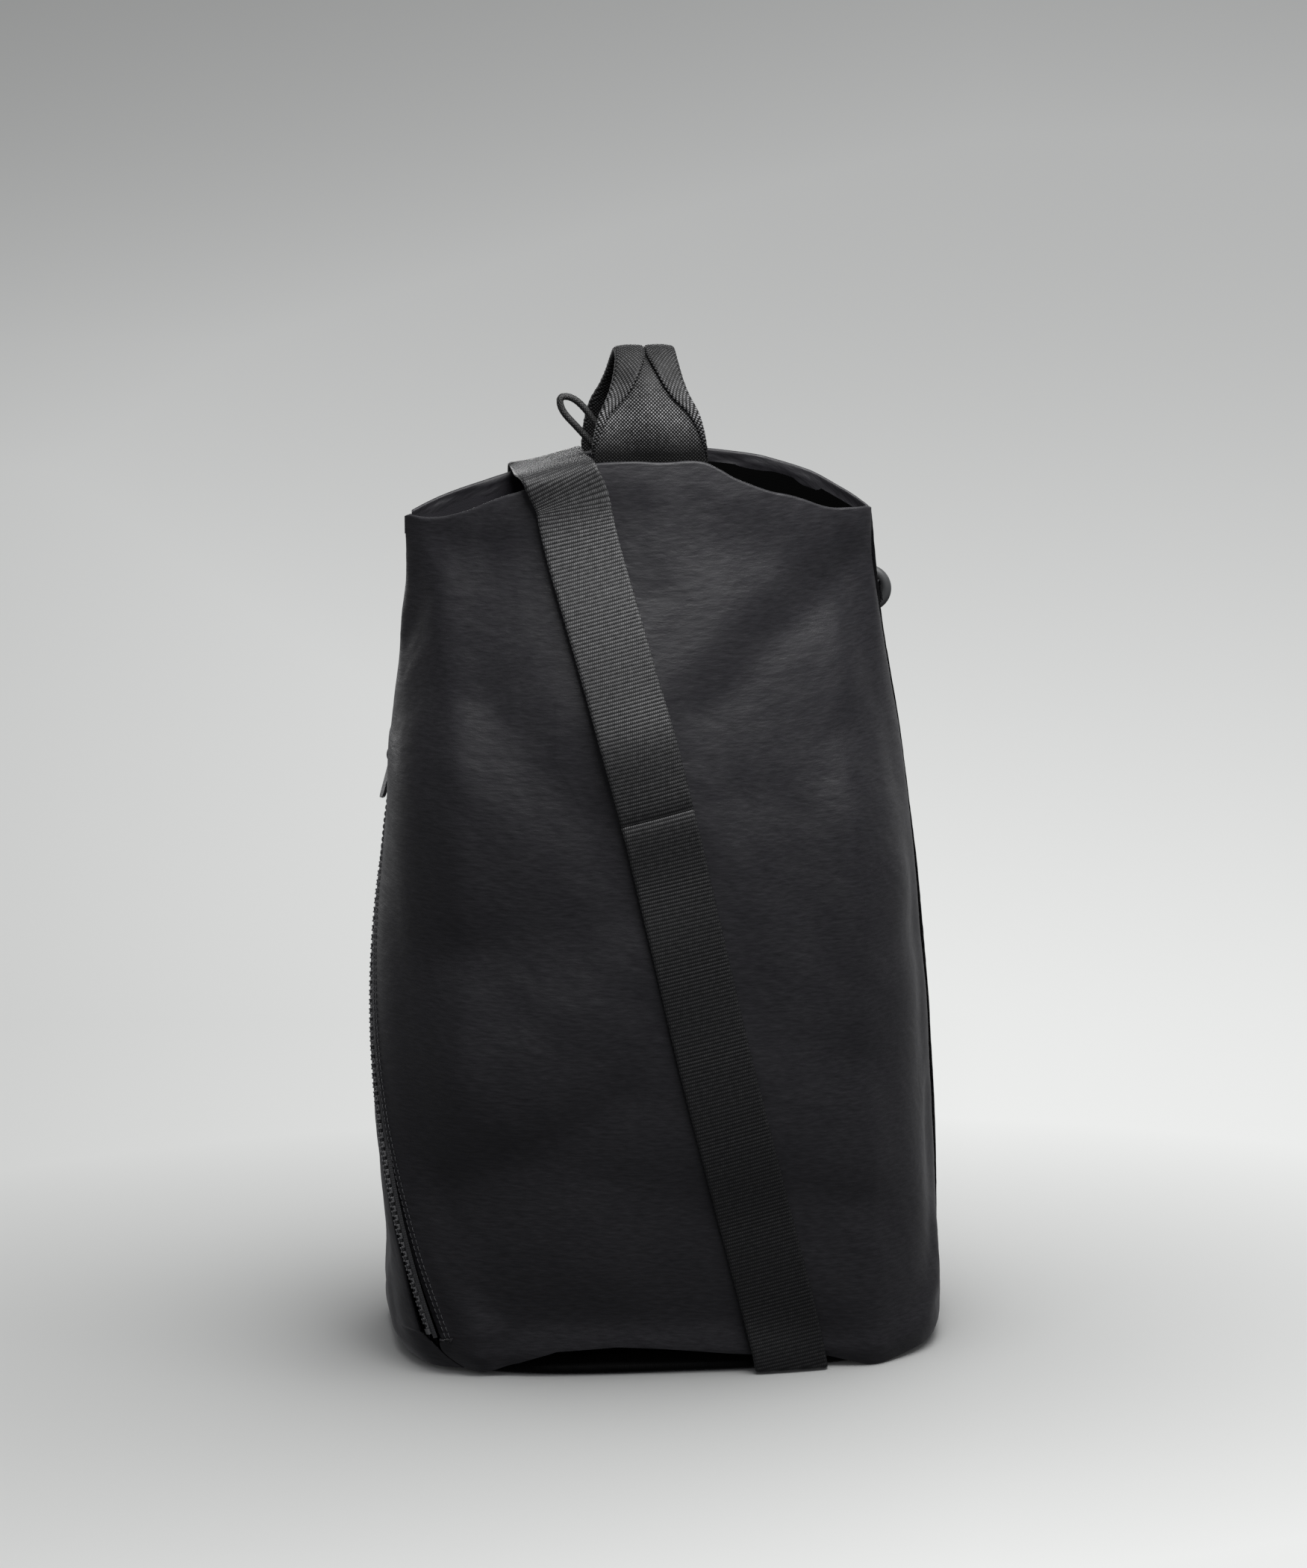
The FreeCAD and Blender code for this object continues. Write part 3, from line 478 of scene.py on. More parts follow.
def painted_light_to_the_left(material, dark, light):
    """Make a cloth's colour paler towards the bag's left end: painted light."""
    tree = material.node_tree
    share = ramp(tree, cloth_place(tree)[0], -0.075, -0.045, 1, 0)
    feed(tree, tree.nodes["Principled BSDF"], {"Base Color": blend_colours(tree, share, dark, light)})


DEEP_BLACK, SOFT_BLACK = (0.0006, 0.0006, 0.0006), (0.0018, 0.0018, 0.0018)
NYLON = crinkled_nylon("crinkled_nylon", (0.0065, 0.0062, 0.0078), (0.0145, 0.014, 0.0165), 0.50)
LINING_CLOTH = woven("lining_cloth", DEEP_BLACK, SOFT_BLACK, 1.0, shine=0.03)
MOUTH_CLOTH = woven("mouth_cloth", DEEP_BLACK, SOFT_BLACK, 1.0, shine=0.03)
# painted light on the mouth cloth: paler towards the left end of the mouth
painted_light_to_the_left(MOUTH_CLOTH, DEEP_BLACK, (0.014, 0.0135, 0.0155))
BASE_CLOTH = woven("base_cloth", (0.001, 0.001, 0.001), (0.003, 0.003, 0.003), 0.9, shine=0.08)
# painted light and shade along the strap: darker low down, a painted highlight just below the front rim,
# darker over the rim and down the back
STRAP_PAINTED_SHADING = ((0, 300, 0.15, 0.26), (290, 452, 1.0, 3.6), (462, 486, 1.0, 0.45), (520, 700, 1.0, 0.7))
STRAP_WEB = woven("strap_webbing", (0.0015, 0.0015, 0.0018), (0.12, 0.12, 0.122), 0.45, 1.9, 1.0,
                  shine=0.25, painted_shading_along=STRAP_PAINTED_SHADING)
# painted shade along the handle: dark near the foot of the front leg, darker from the front shoulder over the
# top and down the back
HANDLE_WEB = woven("handle_webbing", (0.0015, 0.0015, 0.0015), (0.26, 0.26, 0.265), 0.5, 1.8, 1.8, True,
                   shine=0.15, painted_shading_along=((30, 47, 0.06, 1.0), (48, 70, 1.0, 0.22)))
TAPE_CLOTH = woven("zip_tape_cloth", (0.02, 0.02, 0.022), (0.075, 0.075, 0.078), 0.6, 1.2, 1.2)
CORD_BRAID = woven("cord_braid", (0.002, 0.002, 0.002), (0.05, 0.05, 0.05), 0.6, 1.6, 1.4, True)
THREAD = plain("stitch_thread", (0.045, 0.045, 0.048), 0.5)
BOARD = plain("board", (0.01, 0.01, 0.01), 0.8)
TOOTH_PLASTIC = moulded("zip_tooth_plastic", (0.105, 0.105, 0.108), 0.35)
SLIDER_METAL = moulded("slider_enamel", (0.03, 0.03, 0.032), 0.35)
RING_PLASTIC = moulded("ring_plastic", (0.035, 0.036, 0.037), 0.55)
BUCKLE_PLASTIC = moulded("buckle_plastic", (0.02, 0.02, 0.021), 0.42)

CAD_FINISH = (
    (BOARD, ("base_board",)),
    (RING_PLASTIC, ("side_ring",)),
    (TOOTH_PLASTIC, ("mouth_zip_teeth", "mouth_zip_stops", "side_zip_stops")),
    (SLIDER_METAL, ("mouth_zip_slider", "side_zip_slider", "side_zip_pull_tab")),
    (BUCKLE_PLASTIC, ("mouth_zip_pull_sleeve", "strap_ring", "strap_adjuster")),
)


def finish_cad_nodes():
    for material, nodes in CAD_FINISH:
        for node in nodes:
            for material_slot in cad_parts[node].material_slots:
                material_slot.material = material


# ---- shell panels
ROW_STEP, COLUMN_STEP = 1.15, 2.2
PANEL_HEIGHT, PANEL_GIRTH = 455, 470
# half width of the channel that the side zip's chain lies in, and the gap that closed cloth keeps
CHANNEL_EDGE, CLOSED_GAP = 6.9, 0.25
HEM_RADIUS, HEM_DEPTH = 1.3, 9.0
# height of the front's lower edge, which arches up between its corners, at places across
FRONT_HEM = ((-160, 5), (-128, 4), (-104, 1.5), (-84, 5.5), (-62, 13), (-30, 15), (0, 13), (30, 9), (70, 6),
             (100, 1.5), (125, 3), (160, 5))
BACK_HEM = 3.0
FLOOR_GAP = 0.4


def hem_line(x, side):
    return BACK_HEM + 0 * x if side > 0 else np.interp(x, *zip(*FRONT_HEM))


def panel_grid(side, rows, cols):
    """Plain outline of the front (-1) or back (+1) panel, rows from hem to rim, columns seam to seam."""
    girth_height, samples = 200.0, 2000
    seam = float(seam_turn(np.array(girth_height)))
    start, end = (0.0, seam) if side < 0 else (seam, 2 * pi)
    turns = np.linspace(start, end, samples)
    length = lengths_along(wall_point(turns, np.full(samples, girth_height)))
    even = np.interp(np.linspace(0, length[-1], cols), length, (turns - start) / (end - start))
    up = np.linspace(0, 1, rows)[:, None]
    turn = even * pi + (pi if side > 0 else 0) + 0 * up
    rim_line = FRONT_RIM if side < 0 else BACK_RIM
    for _ in range(5):
        across = wall_point(turn[-1], np.full(cols, 452.0))[:, 0]
        rim = rim_height(rim_line, across) + 0.7 * value_noise(across / 17, 0 * across, 3 + side)
        foot = hem_line(wall_point(turn[0], np.full(cols, 8.0))[:, 0], side)
        z = foot + (rim - foot) * up
        seam = seam_turn(z)
        turn = even * seam if side < 0 else seam + even * (2 * pi - seam)
    return wall_point(turn, z)


def outward(points, side):
    """Normals of a panel's sheet, turned to point out of the bag."""
    n = grid_normals(points)
    middle = n[len(n) // 2, n.shape[1] // 2]
    return n if middle[1] * side > 0 else -n


def meet_zip(points, side):
    """Moves the sheet by the seam onto the zip's circle and opens the channel for the chain."""
    order = points[:, ::side]
    z = order[:, 0, 2]
    inside = smoothstep(z, ZIP_LOW - 9, ZIP_LOW - 2) * (1 - smoothstep(z, ZIP_HIGH + 2, ZIP_HIGH + 9))
    target = np.stack([np.interp(z, ZIP_LINE[:, 2], ZIP_LINE[:, k]) for k in range(3)], -1)
    shift = (target - order[:, 0]) * inside[:, None]
    across = lengths_along(np.swapaxes(order, 0, 1)).T
    fall = np.exp(-((across / 30.0) ** 2))[..., None]
    order = order + shift[:, None] * fall
    across = lengths_along(np.swapaxes(order, 0, 1)).T
    room = 1.3 * (1 - smoothstep(z, 36, 56)) if side > 0 else 0.0
    gap = (CLOSED_GAP + (CHANNEL_EDGE + room - CLOSED_GAP) * inside)[:, None]
    share = np.clip(1 - across / 60.0, 0, 1)
    wanted = across + gap * share
    moved = np.empty_like(order)
    for i in range(len(order)):
        for k in range(3):
            moved[i, :, k] = np.interp(wanted[i], across[i], order[i, :, k])
    return moved[:, ::side], inside


SETTLE_FRAMES, WRINKLE_LIMIT = 25, 3.2


def settled_slack(points, side):
    """Height of the wrinkles that a slightly oversize cloth copy of the panel settles into."""
    step_rows, step_columns = 5, 3
    rest = points[::step_rows, ::step_columns]
    rows, cols = rest.shape[:2]
    mesh = bpy.data.meshes.new("settling_cloth")
    mesh.from_pydata((rest.reshape(-1, 3) * MM).tolist(), [], grid_faces(rows, cols).tolist())
    sheet = bpy.data.objects.new("settling_cloth", mesh)
    bpy.context.scene.collection.objects.link(sheet)
    hold = sheet.vertex_groups.new(name="hold")
    for i in range(rows):
        for j in range(cols):
            border = i < 2 or i >= rows - 2 or j < 2 or j >= cols - 2
            hold.add([i * cols + j], 1.0 if border else 0.012, "REPLACE")
    cloth = sheet.modifiers.new("settle", "CLOTH")
    soft = cloth.settings
    soft.quality, soft.mass = 6, 0.1
    soft.tension_stiffness = soft.compression_stiffness = 14
    soft.bending_stiffness = 0.25
    soft.shrink_min = soft.shrink_max = -0.03
    soft.vertex_group_mass = "hold"
    cloth.collision_settings.use_collision = False
    scene = bpy.context.scene
    for number in range(SETTLE_FRAMES):
        scene.frame_set(number + 1)
    result = sheet.evaluated_get(bpy.context.evaluated_depsgraph_get()).to_mesh()
    moved = np.zeros(rows * cols * 3)
    result.vertices.foreach_get("co", moved)
    bpy.data.objects.remove(sheet)
    scene.frame_set(1)
    lift = np.sum((moved.reshape(rows, cols, 3) / MM - rest) * outward(rest, side), -1)
    lift = WRINKLE_LIMIT * np.tanh(lift / WRINKLE_LIMIT)
    rows_at = np.arange(points.shape[0]) / step_rows
    columns_at = np.arange(points.shape[1]) / step_columns
    lift = np.stack([np.interp(columns_at, np.arange(cols), row) for row in lift])
    lift = np.stack([np.interp(rows_at, np.arange(rows), lift[:, j]) for j in range(points.shape[1])], 1)
    return blur(blur(lift, 3, 0), 1.5, 1)


def panel_surface(side):
    """Folded outer surface of a panel with its cloth coordinates."""
    rows, cols = int(PANEL_HEIGHT / ROW_STEP), int(PANEL_GIRTH / COLUMN_STEP)
    points, inside = meet_zip(panel_grid(side, rows, cols), side)
    across = lengths_along(np.swapaxes(points, 0, 1)).T
    u = across - across[:, cols // 2 : cols // 2 + 1]
    z = points[..., 2]
    edge, far = (across, across[:, -1:] - across)[::side]
    x = points[..., 0]
    folds, ridges = (FRONT_FOLDS, FRONT_RIDGES) if side < 0 else (BACK_FOLDS, BACK_RIDGES)
    height = fold_field(x, z, folds, 3.2) + soft_noise(u, z, 11 if side < 0 else 31)
    top = 1 - smoothstep(z, RIM_TOP - 52, RIM_TOP - 8) * 0.75
    seams = (0.15 + 0.85 * smoothstep(edge, 2, 34)) * (0.25 + 0.75 * smoothstep(far, 0, 26))
    height = height * top * seams * (0.35 + 0.65 * smoothstep(z, 2, 26))
    height = height + settled_slack(points, side) * seams
    height += fold_field(x, z, ridges, 1.0) * (0.1 + 0.9 * top) * smoothstep(edge, 0, 24)
    height = np.where(height < -4, -4 - 5 * np.tanh(-(height + 4) / 5), height)
    height = np.maximum(height, -3.4 - 6 * smoothstep(z, 4, 34))
    height = blur(blur(height, 3, 0), 2, 1)
    height += crinkle(u, z, 51 if side < 0 else 71)
    lip = np.exp(-((edge / 5.0) ** 2)) * inside[:, None]
    height += (1.5 if side < 0 else 0.3) * lip
    points = points + outward(points, side) * height[..., None]
    points[..., 2] = np.maximum(points[..., 2], FLOOR_GAP)
    return points, np.stack([u, z], -1), inside


def rim_hem(points, uv):
    """Rows that turn the rim over and run down inside."""
    top = points[-1]
    depth = np.abs(top[:, 1:2])
    inward = np.stack([0 * top[:, 0], -np.sign(top[:, 1]), 0 * top[:, 0]], -1)
    radius = np.minimum(HEM_RADIUS, depth * 0.45)
    rows, places = [], []
    for k in range(1, 7):
        a = pi * k / 6
        rows.append(top + inward * radius * (1 - cos(a)) + UP * (radius * sin(a)))
        places.append(uv[-1] + (0, k * 0.7))
    for k in range(1, 9):
        drop = HEM_DEPTH * k / 8
        slack = 0.6 * value_noise(uv[-1, :, :1] / 14, np.full((len(top), 1), k / 3), 91)
        rows.append(rows[5] - UP * drop + inward * np.minimum(slack, depth * 0.2))
        places.append(uv[-1] + (0, 4.2 + drop))
    return np.concatenate([points, rows]), np.concatenate([uv, places])


def zip_lip(points, uv, side, inside):
    """Columns that fold the edge beside the zip inward, towards the tape."""
    sheet, cloth, normal = (a[:, ::side] for a in (points, uv, outward(points, side)))
    edge, place, normal = sheet[:, 0], cloth[:, 0], normal[:, 0]
    away = unit(edge - sheet[:, 2])
    open_share = np.concatenate([inside, np.zeros(len(points) - len(inside))])[:, None]
    radius = 0.9 * open_share + 0.05
    columns, places = [], []
    for k in range(1, 6):
        a = pi * k / 5
        columns.append(edge + away * radius * sin(a) * 0.8 - normal * radius * (1 - cos(a)))
        places.append(place + (k * 0.5, 0))
    for k in range(1, 4):
        columns.append(columns[4] - away * (2.2 * k) * open_share - normal * 0.2 * k * open_share)
        places.append(places[4] + (2.2 * k, 0))
    full = np.concatenate([np.stack(columns[::-1], 1), sheet], 1)
    full_cloth = np.concatenate([np.stack(places[::-1], 1), cloth], 1)
    return full[:, ::side], full_cloth[:, ::side]


def build_panel(side, name):
    points, uv, inside = panel_surface(side)
    full, full_uv = rim_hem(points, uv)
    full, full_uv = zip_lip(full, full_uv, side, inside)
    add_grid(name + "_cloth", full, NYLON, "root", full_uv, flip=side > 0, replaces=(name,),
             slot="shell_nylon")
    return points


FRONT = build_panel(-1, "front_panel")
BACK = build_panel(1, "back_panel")


FRONT_TREE = BVHTree.FromPolygons(FRONT.reshape(-1, 3).tolist(), grid_faces(*FRONT.shape[:2]).tolist())


def front_depth(x, z):
    """Depth of the folded front at a place across and up; the plain outline where a ray misses."""
    hit = FRONT_TREE.ray_cast(Vector((x, -400, z)), Vector((0, 1, 0)))
    return hit[0].y if hit[0] else -float(wall_y(x, z))


# ---- base
# height and how far inside the outline the bowl's wall stands there
BOWL = ((24, 12), (19, 11), (14, 9.5), (9, 7), (5, 5.2), (3, 4.6), (1.6, 4.4), (0.7, 5.0), (0.2, 6.4))


def build_base():
    """Dark cloth bowl under the shell: tucked in behind the front hem, closed by the flat foot."""
    count = 300
    turns = np.linspace(0, 2 * pi, count, endpoint=False)
    rows = []
    for z, inset in BOWL:
        ring = wall_point(turns, np.full(count, float(z)))
        tuck = smoothstep(ring[:, 0], -92, -60) * (1 - smoothstep(ring[:, 0], 50, 84)) * (ring[:, 1] < 0)
        depth = inset + 9.0 * tuck * smoothstep(z, 5, 10)
        centre = np.array((0, 0, z))
        rows.append(ring + unit((centre - ring) * (0.35, 1, 0)) * depth[:, None])
    for share in (0.85, 0.6, 0.3, 0.05):
        rows.append(rows[len(BOWL) - 1] * (share, share, 1))
    points = np.array(rows)
    add_grid("base_bowl", points, BASE_CLOTH, "root", points[..., :2], wrap=True, replaces=("base_panel",),
             slot="base_fabric")


build_base()


# ---- lining and mouth
def build_lining():
    """Thin inner shell, and a gathered funnel from the rim down to the mouth zip."""
    for side, label in SIDES:
        turn_start = 0.0 if side < 0 else pi
        turns = np.linspace(turn_start, turn_start + pi, 120)
        heights = np.linspace(6, 424, 100)[:, None]
        points = wall_point(turns + 0 * heights, heights + 0 * turns)
        uv = np.stack([turns * 120 + 0 * heights, heights + 0 * turns], -1)
        depth = 15.0 - 7.0 * smoothstep(uv[..., 1], 380, 424)
        depth = depth + 0.8 * value_noise(uv[..., 0] / 30, uv[..., 1] / 40, 5 + side)
        centre = points * (0, 0, 1) + (-8.0, 0, 0)
        points = points + unit(centre - points) * depth[..., None]
        add_grid(f"lining_{label}", points, LINING_CLOTH, "root", uv, replaces=("lining",),
                 slot="lining_fabric")
        build_funnel(side, label)


def build_funnel(side, label):
    """Sagging cloth from under one rim to the edge of the mouth zip."""
    panel = FRONT if side < 0 else BACK
    top = panel[-1, ::2]
    count = len(top)
    radius = np.minimum(HEM_RADIUS * 2, np.abs(top[:, 1:2]) * 0.9)
    inward = np.stack([0 * top[:, 0], -np.sign(top[:, 1]), 0 * top[:, 0]], -1)
    start = top + inward * radius - UP * HEM_DEPTH * 0.6
    start[:, 2] = np.maximum(start[:, 2], 427.0)
    end = np.stack([np.clip(top[:, 0], -100, 76), np.full(count, side * 7.0), np.full(count, 425.0)], -1)
    rows = []
    for k in range(14):
        t = k / 13
        sag = 3.0 * sin(pi * t)
        wave = 0.9 * sin(pi * t) * value_noise(top[:, :1] / 11, np.full((count, 1), t * 2), 17)
        rows.append(start + (end - start) * t - UP * (sag + wave) * np.clip((start[:, 2:] - 427) / 10, 0, 1))
    points = np.array(rows)
    uv = np.stack([points[..., 0], points[..., 1] + points[..., 2]], -1)
    node = f"mouth_facing_{label}"
    add_grid(f"mouth_funnel_{label}", points, MOUTH_CLOTH, "root", uv, replaces=(node,), slot="lining_fabric")


build_lining()


def band(name, line, across, normal, offsets, material, replaces, slot, lift=0.0):
    """Flat strip beside a line: offsets across it, lifted off it; used for zip tape."""
    heights = [lift + 0.12 * sin(o * 3) - 0.45 * max(0, abs(o) - 6.2) for o in offsets]
    points = np.stack([line + across * o + normal * h for o, h in zip(offsets, heights)], 1)
    u, v = np.array(offsets)[None], lengths_along(line)[:, None]
    uv = np.stack([u + 0 * v, v + 0 * u], -1)
    return add_grid(name, points, material, "root", uv, replaces=replaces, slot=slot)


def build_tapes():
    frames = [zip_frame(t) for t in np.linspace(-0.004, ZIP_SWEEP + 0.001, 260)]
    line, _, across, out = (np.array(v) for v in zip(*frames))
    towards_back = np.sign(across[0, 1])
    x = np.linspace(-96, 72, 120)
    mouth_line = np.stack([x, 0 * x, 424 + 0.25 * np.sin(x / 9)], -1)
    for side, label in SIDES:
        offsets = [side * towards_back * o for o in (3.0, 3.4, 4.4, 5.4, 6.4, 7.4, 8.4)]
        band(f"side_tape_{label}", line, across, out, offsets, TAPE_CLOTH, (f"side_zip_tape_{label}",),
             "zip_tape")
        offsets = [side * o for o in (3.0, 3.4, 5.0, 7.0, 9.0, 12.0)]
        band(f"mouth_tape_{label}", mouth_line, np.array([(0, 1.0, 0)]), UP, offsets, TAPE_CLOTH,
             (f"mouth_zip_tape_{label}",), "zip_tape")


def build_tape_ends():
    """Cloth that closes the channel beyond each end of the side zip."""
    for label, first, last, half, cloth, lift in (
            ("low", -0.012, -0.0015, 4.6, LINING_CLOTH, -1.2),
            ("high", ZIP_SWEEP + 0.0005, ZIP_SWEEP + 0.016, 6.6, NYLON, -0.2)):
        line, _, across, out = (np.array(v) for v in zip(*map(zip_frame, np.linspace(first, last, 12))))
        offsets = (-half, -2, 0, 2, half) if label == "low" else (-half, -3, 0, 3, half)
        band(f"side_tape_end_{label}", line, across, out, offsets, cloth, (), "zip_tape", lift)


build_tape_ends()
build_tapes()


# ---- side zip teeth
def rounded_box(size, centre, bevel):
    """Vertices and faces of a softened box."""
    bm = bmesh.new()
    bmesh.ops.create_cube(bm, size=1.0)
    bmesh.ops.scale(bm, vec=size, verts=bm.verts)
    bmesh.ops.bevel(bm, geom=bm.edges[:], offset=bevel, segments=2, affect="EDGES", profile=0.6)
    bmesh.ops.translate(bm, vec=centre, verts=bm.verts)
    verts = np.array([v.co[:] for v in bm.verts])
    faces = [[v.index for v in f.verts] for f in bm.faces]
    bm.free()
    return verts, faces


def joined(parts):
    verts, faces, base = [], [], 0
    for v, f in parts:
        verts.append(v)
        faces += [[i + base for i in face] for face in f]
        base += len(v)
    return np.concatenate(verts), faces


def side_tooth(side):
    """One moulded tooth: a U that opens towards the chain's middle, x along the chain, y across."""
    arms = [rounded_box((0.95, 2.5, 2.3), (x, side * 2.1, 0.25), 0.28) for x in (-1.05, 1.05)]
    root = rounded_box((3.0, 1.2, 2.0), (0, side * 3.0, 0.05), 0.3)
    nose = rounded_box((1.1, 1.6, 1.5), (0, side * 1.6, -0.3), 0.25)
    return joined(arms + [root, nose])


def build_side_teeth():
    pitch, start = 4.8, 4.0
    count = int((ZIP_SWEEP * ZIP_RADIUS - 2 * start) / pitch) - 1
    parts = []
    for side in (-1, 1):
        verts, faces = side_tooth(side)
        for k in range(count):
            place, along, across, out = zip_frame((start + (k + 0.5 + 0.25 * side) * pitch) / ZIP_RADIUS)
            parts.append((place + verts @ np.array([along, across, out]), faces))
    verts, faces = joined(parts)
    add_object("side_chain", verts, faces, TOOTH_PLASTIC, "root", replaces=("side_zip_teeth",),
               slot="zip_teeth")


build_side_teeth()


# ---- webbing
def weave_height(s, t, rib, grain, height):
    """Raised ribs across webbing, each a row of grains that sit half a step over on every other row."""
    row = np.floor(s / rib)
    ribs = np.abs(np.sin(pi * s / rib)) ** 0.6
    grains = np.abs(np.sin(pi * (t / grain + 0.5 * (row % 2)))) ** 0.7
    return height * ribs * (0.45 + 0.55 * grains)


def webbing_strip(name, middle, s, t, thickness, weave, material, body, inner_weave=None, **rest):
    """Closed woven strip round a (rows, cols, 3) middle surface; weave is the relief of its outer face."""
    normal = grid_normals(middle)
    half = np.abs(t).max()
    selvage = smoothstep(half - np.abs(t), 0.0, 1.4)
    crown = thickness / 2 * (0.5 + 0.5 * selvage)[None]
    face = middle + normal * (crown + weave * selvage)[..., None]
    if inner_weave is None:
        keep = np.linspace(0, len(t) - 1, 12).astype(int)
        back = (middle - normal * crown[..., None])[:, keep][:, ::-1]
        back_t = t[keep][::-1]
    else:
        back = (middle - normal * (crown + inner_weave * selvage)[..., None])[:, ::-1]
        back_t = t[::-1]
    points = np.concatenate([face, back], 1)
    across = np.concatenate([t, back_t])
    uv = np.stack([across[None] + 0 * s[:, None], s[:, None] + 0 * across[None]], -1)
    return add_grid(name, points, material, body, uv, wrap=True, **rest)


STRAP_WIDTH, WEBBING = 38.0, 1.6
STRAP_X_RIM = -57.2
# the strap's middle line on the front: height, place across
STRAP_LINE = ((-13.0, 64.6), (7.0, 59.5), (165.0, 19.5), (290.0, -8.0), (400.0, -36.5), (446.0, -49.5),
              (464.0, -56.0))
STRAP_OVER = 464.1
CREASE_HEIGHT = 293.0
STRAP_STEP = 0.48
STRAP_T = np.linspace(-STRAP_WIDTH / 2, STRAP_WIDTH / 2, 77)
SWEEP_T = np.linspace(-STRAP_WIDTH / 2, STRAP_WIDTH / 2, 9)


def taut_cover(depth, reach):
    """Foremost depth nearby along the strap, then smoothed: webbing pulled tight over soft cloth."""
    taut = np.array([np.min(depth[max(0, i - reach) : i + reach + 1], axis=0) for i in range(len(depth))])
    return blur(blur(taut, reach * 0.8, 0), 1.2, 1)


def strap_surface(line, side, bow):
    """Middle surface of the strap from its centre line, the direction across it and its bow in depth."""
    length = lengths_along(line)
    s = np.arange(0, length[-1], STRAP_STEP)
    centre = np.stack([blur(np.interp(s, length, line[:, k]), 4, 0) for k in range(3)], -1)
    across = unit(np.stack([blur(np.interp(s, length, side[:, k]), 9, 0) for k in range(3)], -1))
    ahead = unit(np.gradient(centre, axis=0))
    across = unit(across - ahead * np.sum(across * ahead, -1, keepdims=True))
    middle = centre[:, None] + across[:, None] * STRAP_T[None, :, None]
    middle[..., 1] += blur(np.interp(s, length, bow), 6, 0)[:, None] * (STRAP_T / STRAP_T[-1])[None] ** 2
    return middle, s


def strap_webbing(name, middle, s, **rest):
    weave = weave_height(s[:, None], STRAP_T[None], 1.9, 1.0, 0.42)
    webbing_strip(name, middle, s, STRAP_T, WEBBING, weave, STRAP_WEB, "root", slot="strap_webbing", **rest)


def build_strap_front():
    """From the foot up the front and over the front rim to the middle of the mouth; returns its length."""
    z = np.linspace(-6, 447, 254)
    x = blur(np.interp(z, *zip(*STRAP_LINE)), 12, 0)
    slope = np.gradient(x, z)
    tilt = np.sqrt(1 + slope**2)
    depth = np.array([[front_depth(a + o / k, max(h - o * m / k, 5)) for o in SWEEP_T]
                      for a, h, m, k in zip(x, z, slope, tilt)])
    taut = taut_cover(depth, 5) - 0.7 - WEBBING / 2
    centre = np.stack([x, taut[:, 4], z], -1)
    side = np.stack([1 / tilt, (taut[:, -1] - taut[:, 0]) / STRAP_WIDTH, -slope / tilt], -1)
    turn_over = curve_through([centre[-12], centre[-1], (-53.0, -27.6, 459.8), (-54.6, -24.2, 463.3),
                               (-56.0, -17.0, 464.3), (STRAP_X_RIM, -8.0, STRAP_OVER),
                               (STRAP_X_RIM, 6.0, STRAP_OVER)], 60)
    over = turn_over[turn_over[:, 2] > 447.5]
    fade = np.linspace(1, 0, len(over))[:, None]
    level = np.array((0.95, 0.0, 0.27))
    side = np.concatenate([side, level + (side[-1] - level) * fade**2])
    line = np.concatenate([centre, over])
    bend = (taut[:, 0] + taut[:, -1]) / 2 - taut[:, 4]
    bow = np.concatenate([bend, bend[-1] * fade[:, 0] ** 2])
    middle, s = strap_surface(line, side, bow)
    below = np.maximum(2.2 - middle[..., 2], 0)
    middle[..., 1] += 1.3 * below
    middle[..., 2] = np.where(below > 0, 2.2 - 0.9 * (1 - np.exp(-below)), middle[..., 2])
    normal = grid_normals(middle)
    d = middle[..., 38:39, 2] - CREASE_HEIGHT
    crease = 1.7 * (1 - np.exp(-np.abs(d) / 3.5)) * np.exp(-((d / 20) ** 2))
    bulge = 3.2 * np.exp(-(((d - 36) / 21) ** 2))
    middle = middle + normal * (crease + bulge)[..., None]
    kept = middle[:, 38, 1] < 0
    middle, s = middle[kept], s[kept]
    middle[-1, :, 1] = 0
    strap_webbing("strap_front", middle, s, replaces=("shoulder_strap",))
    return s[-1]


BACK_LOW, BACK_HIGH = np.array((STRAP_X_RIM, 101.6, 46.0)), np.array((STRAP_X_RIM, 92.0, 215.0))
BACK_TOP = BACK_HIGH + 0.09 * (BACK_HIGH - BACK_LOW)
EYE_RADIUS = 4.6


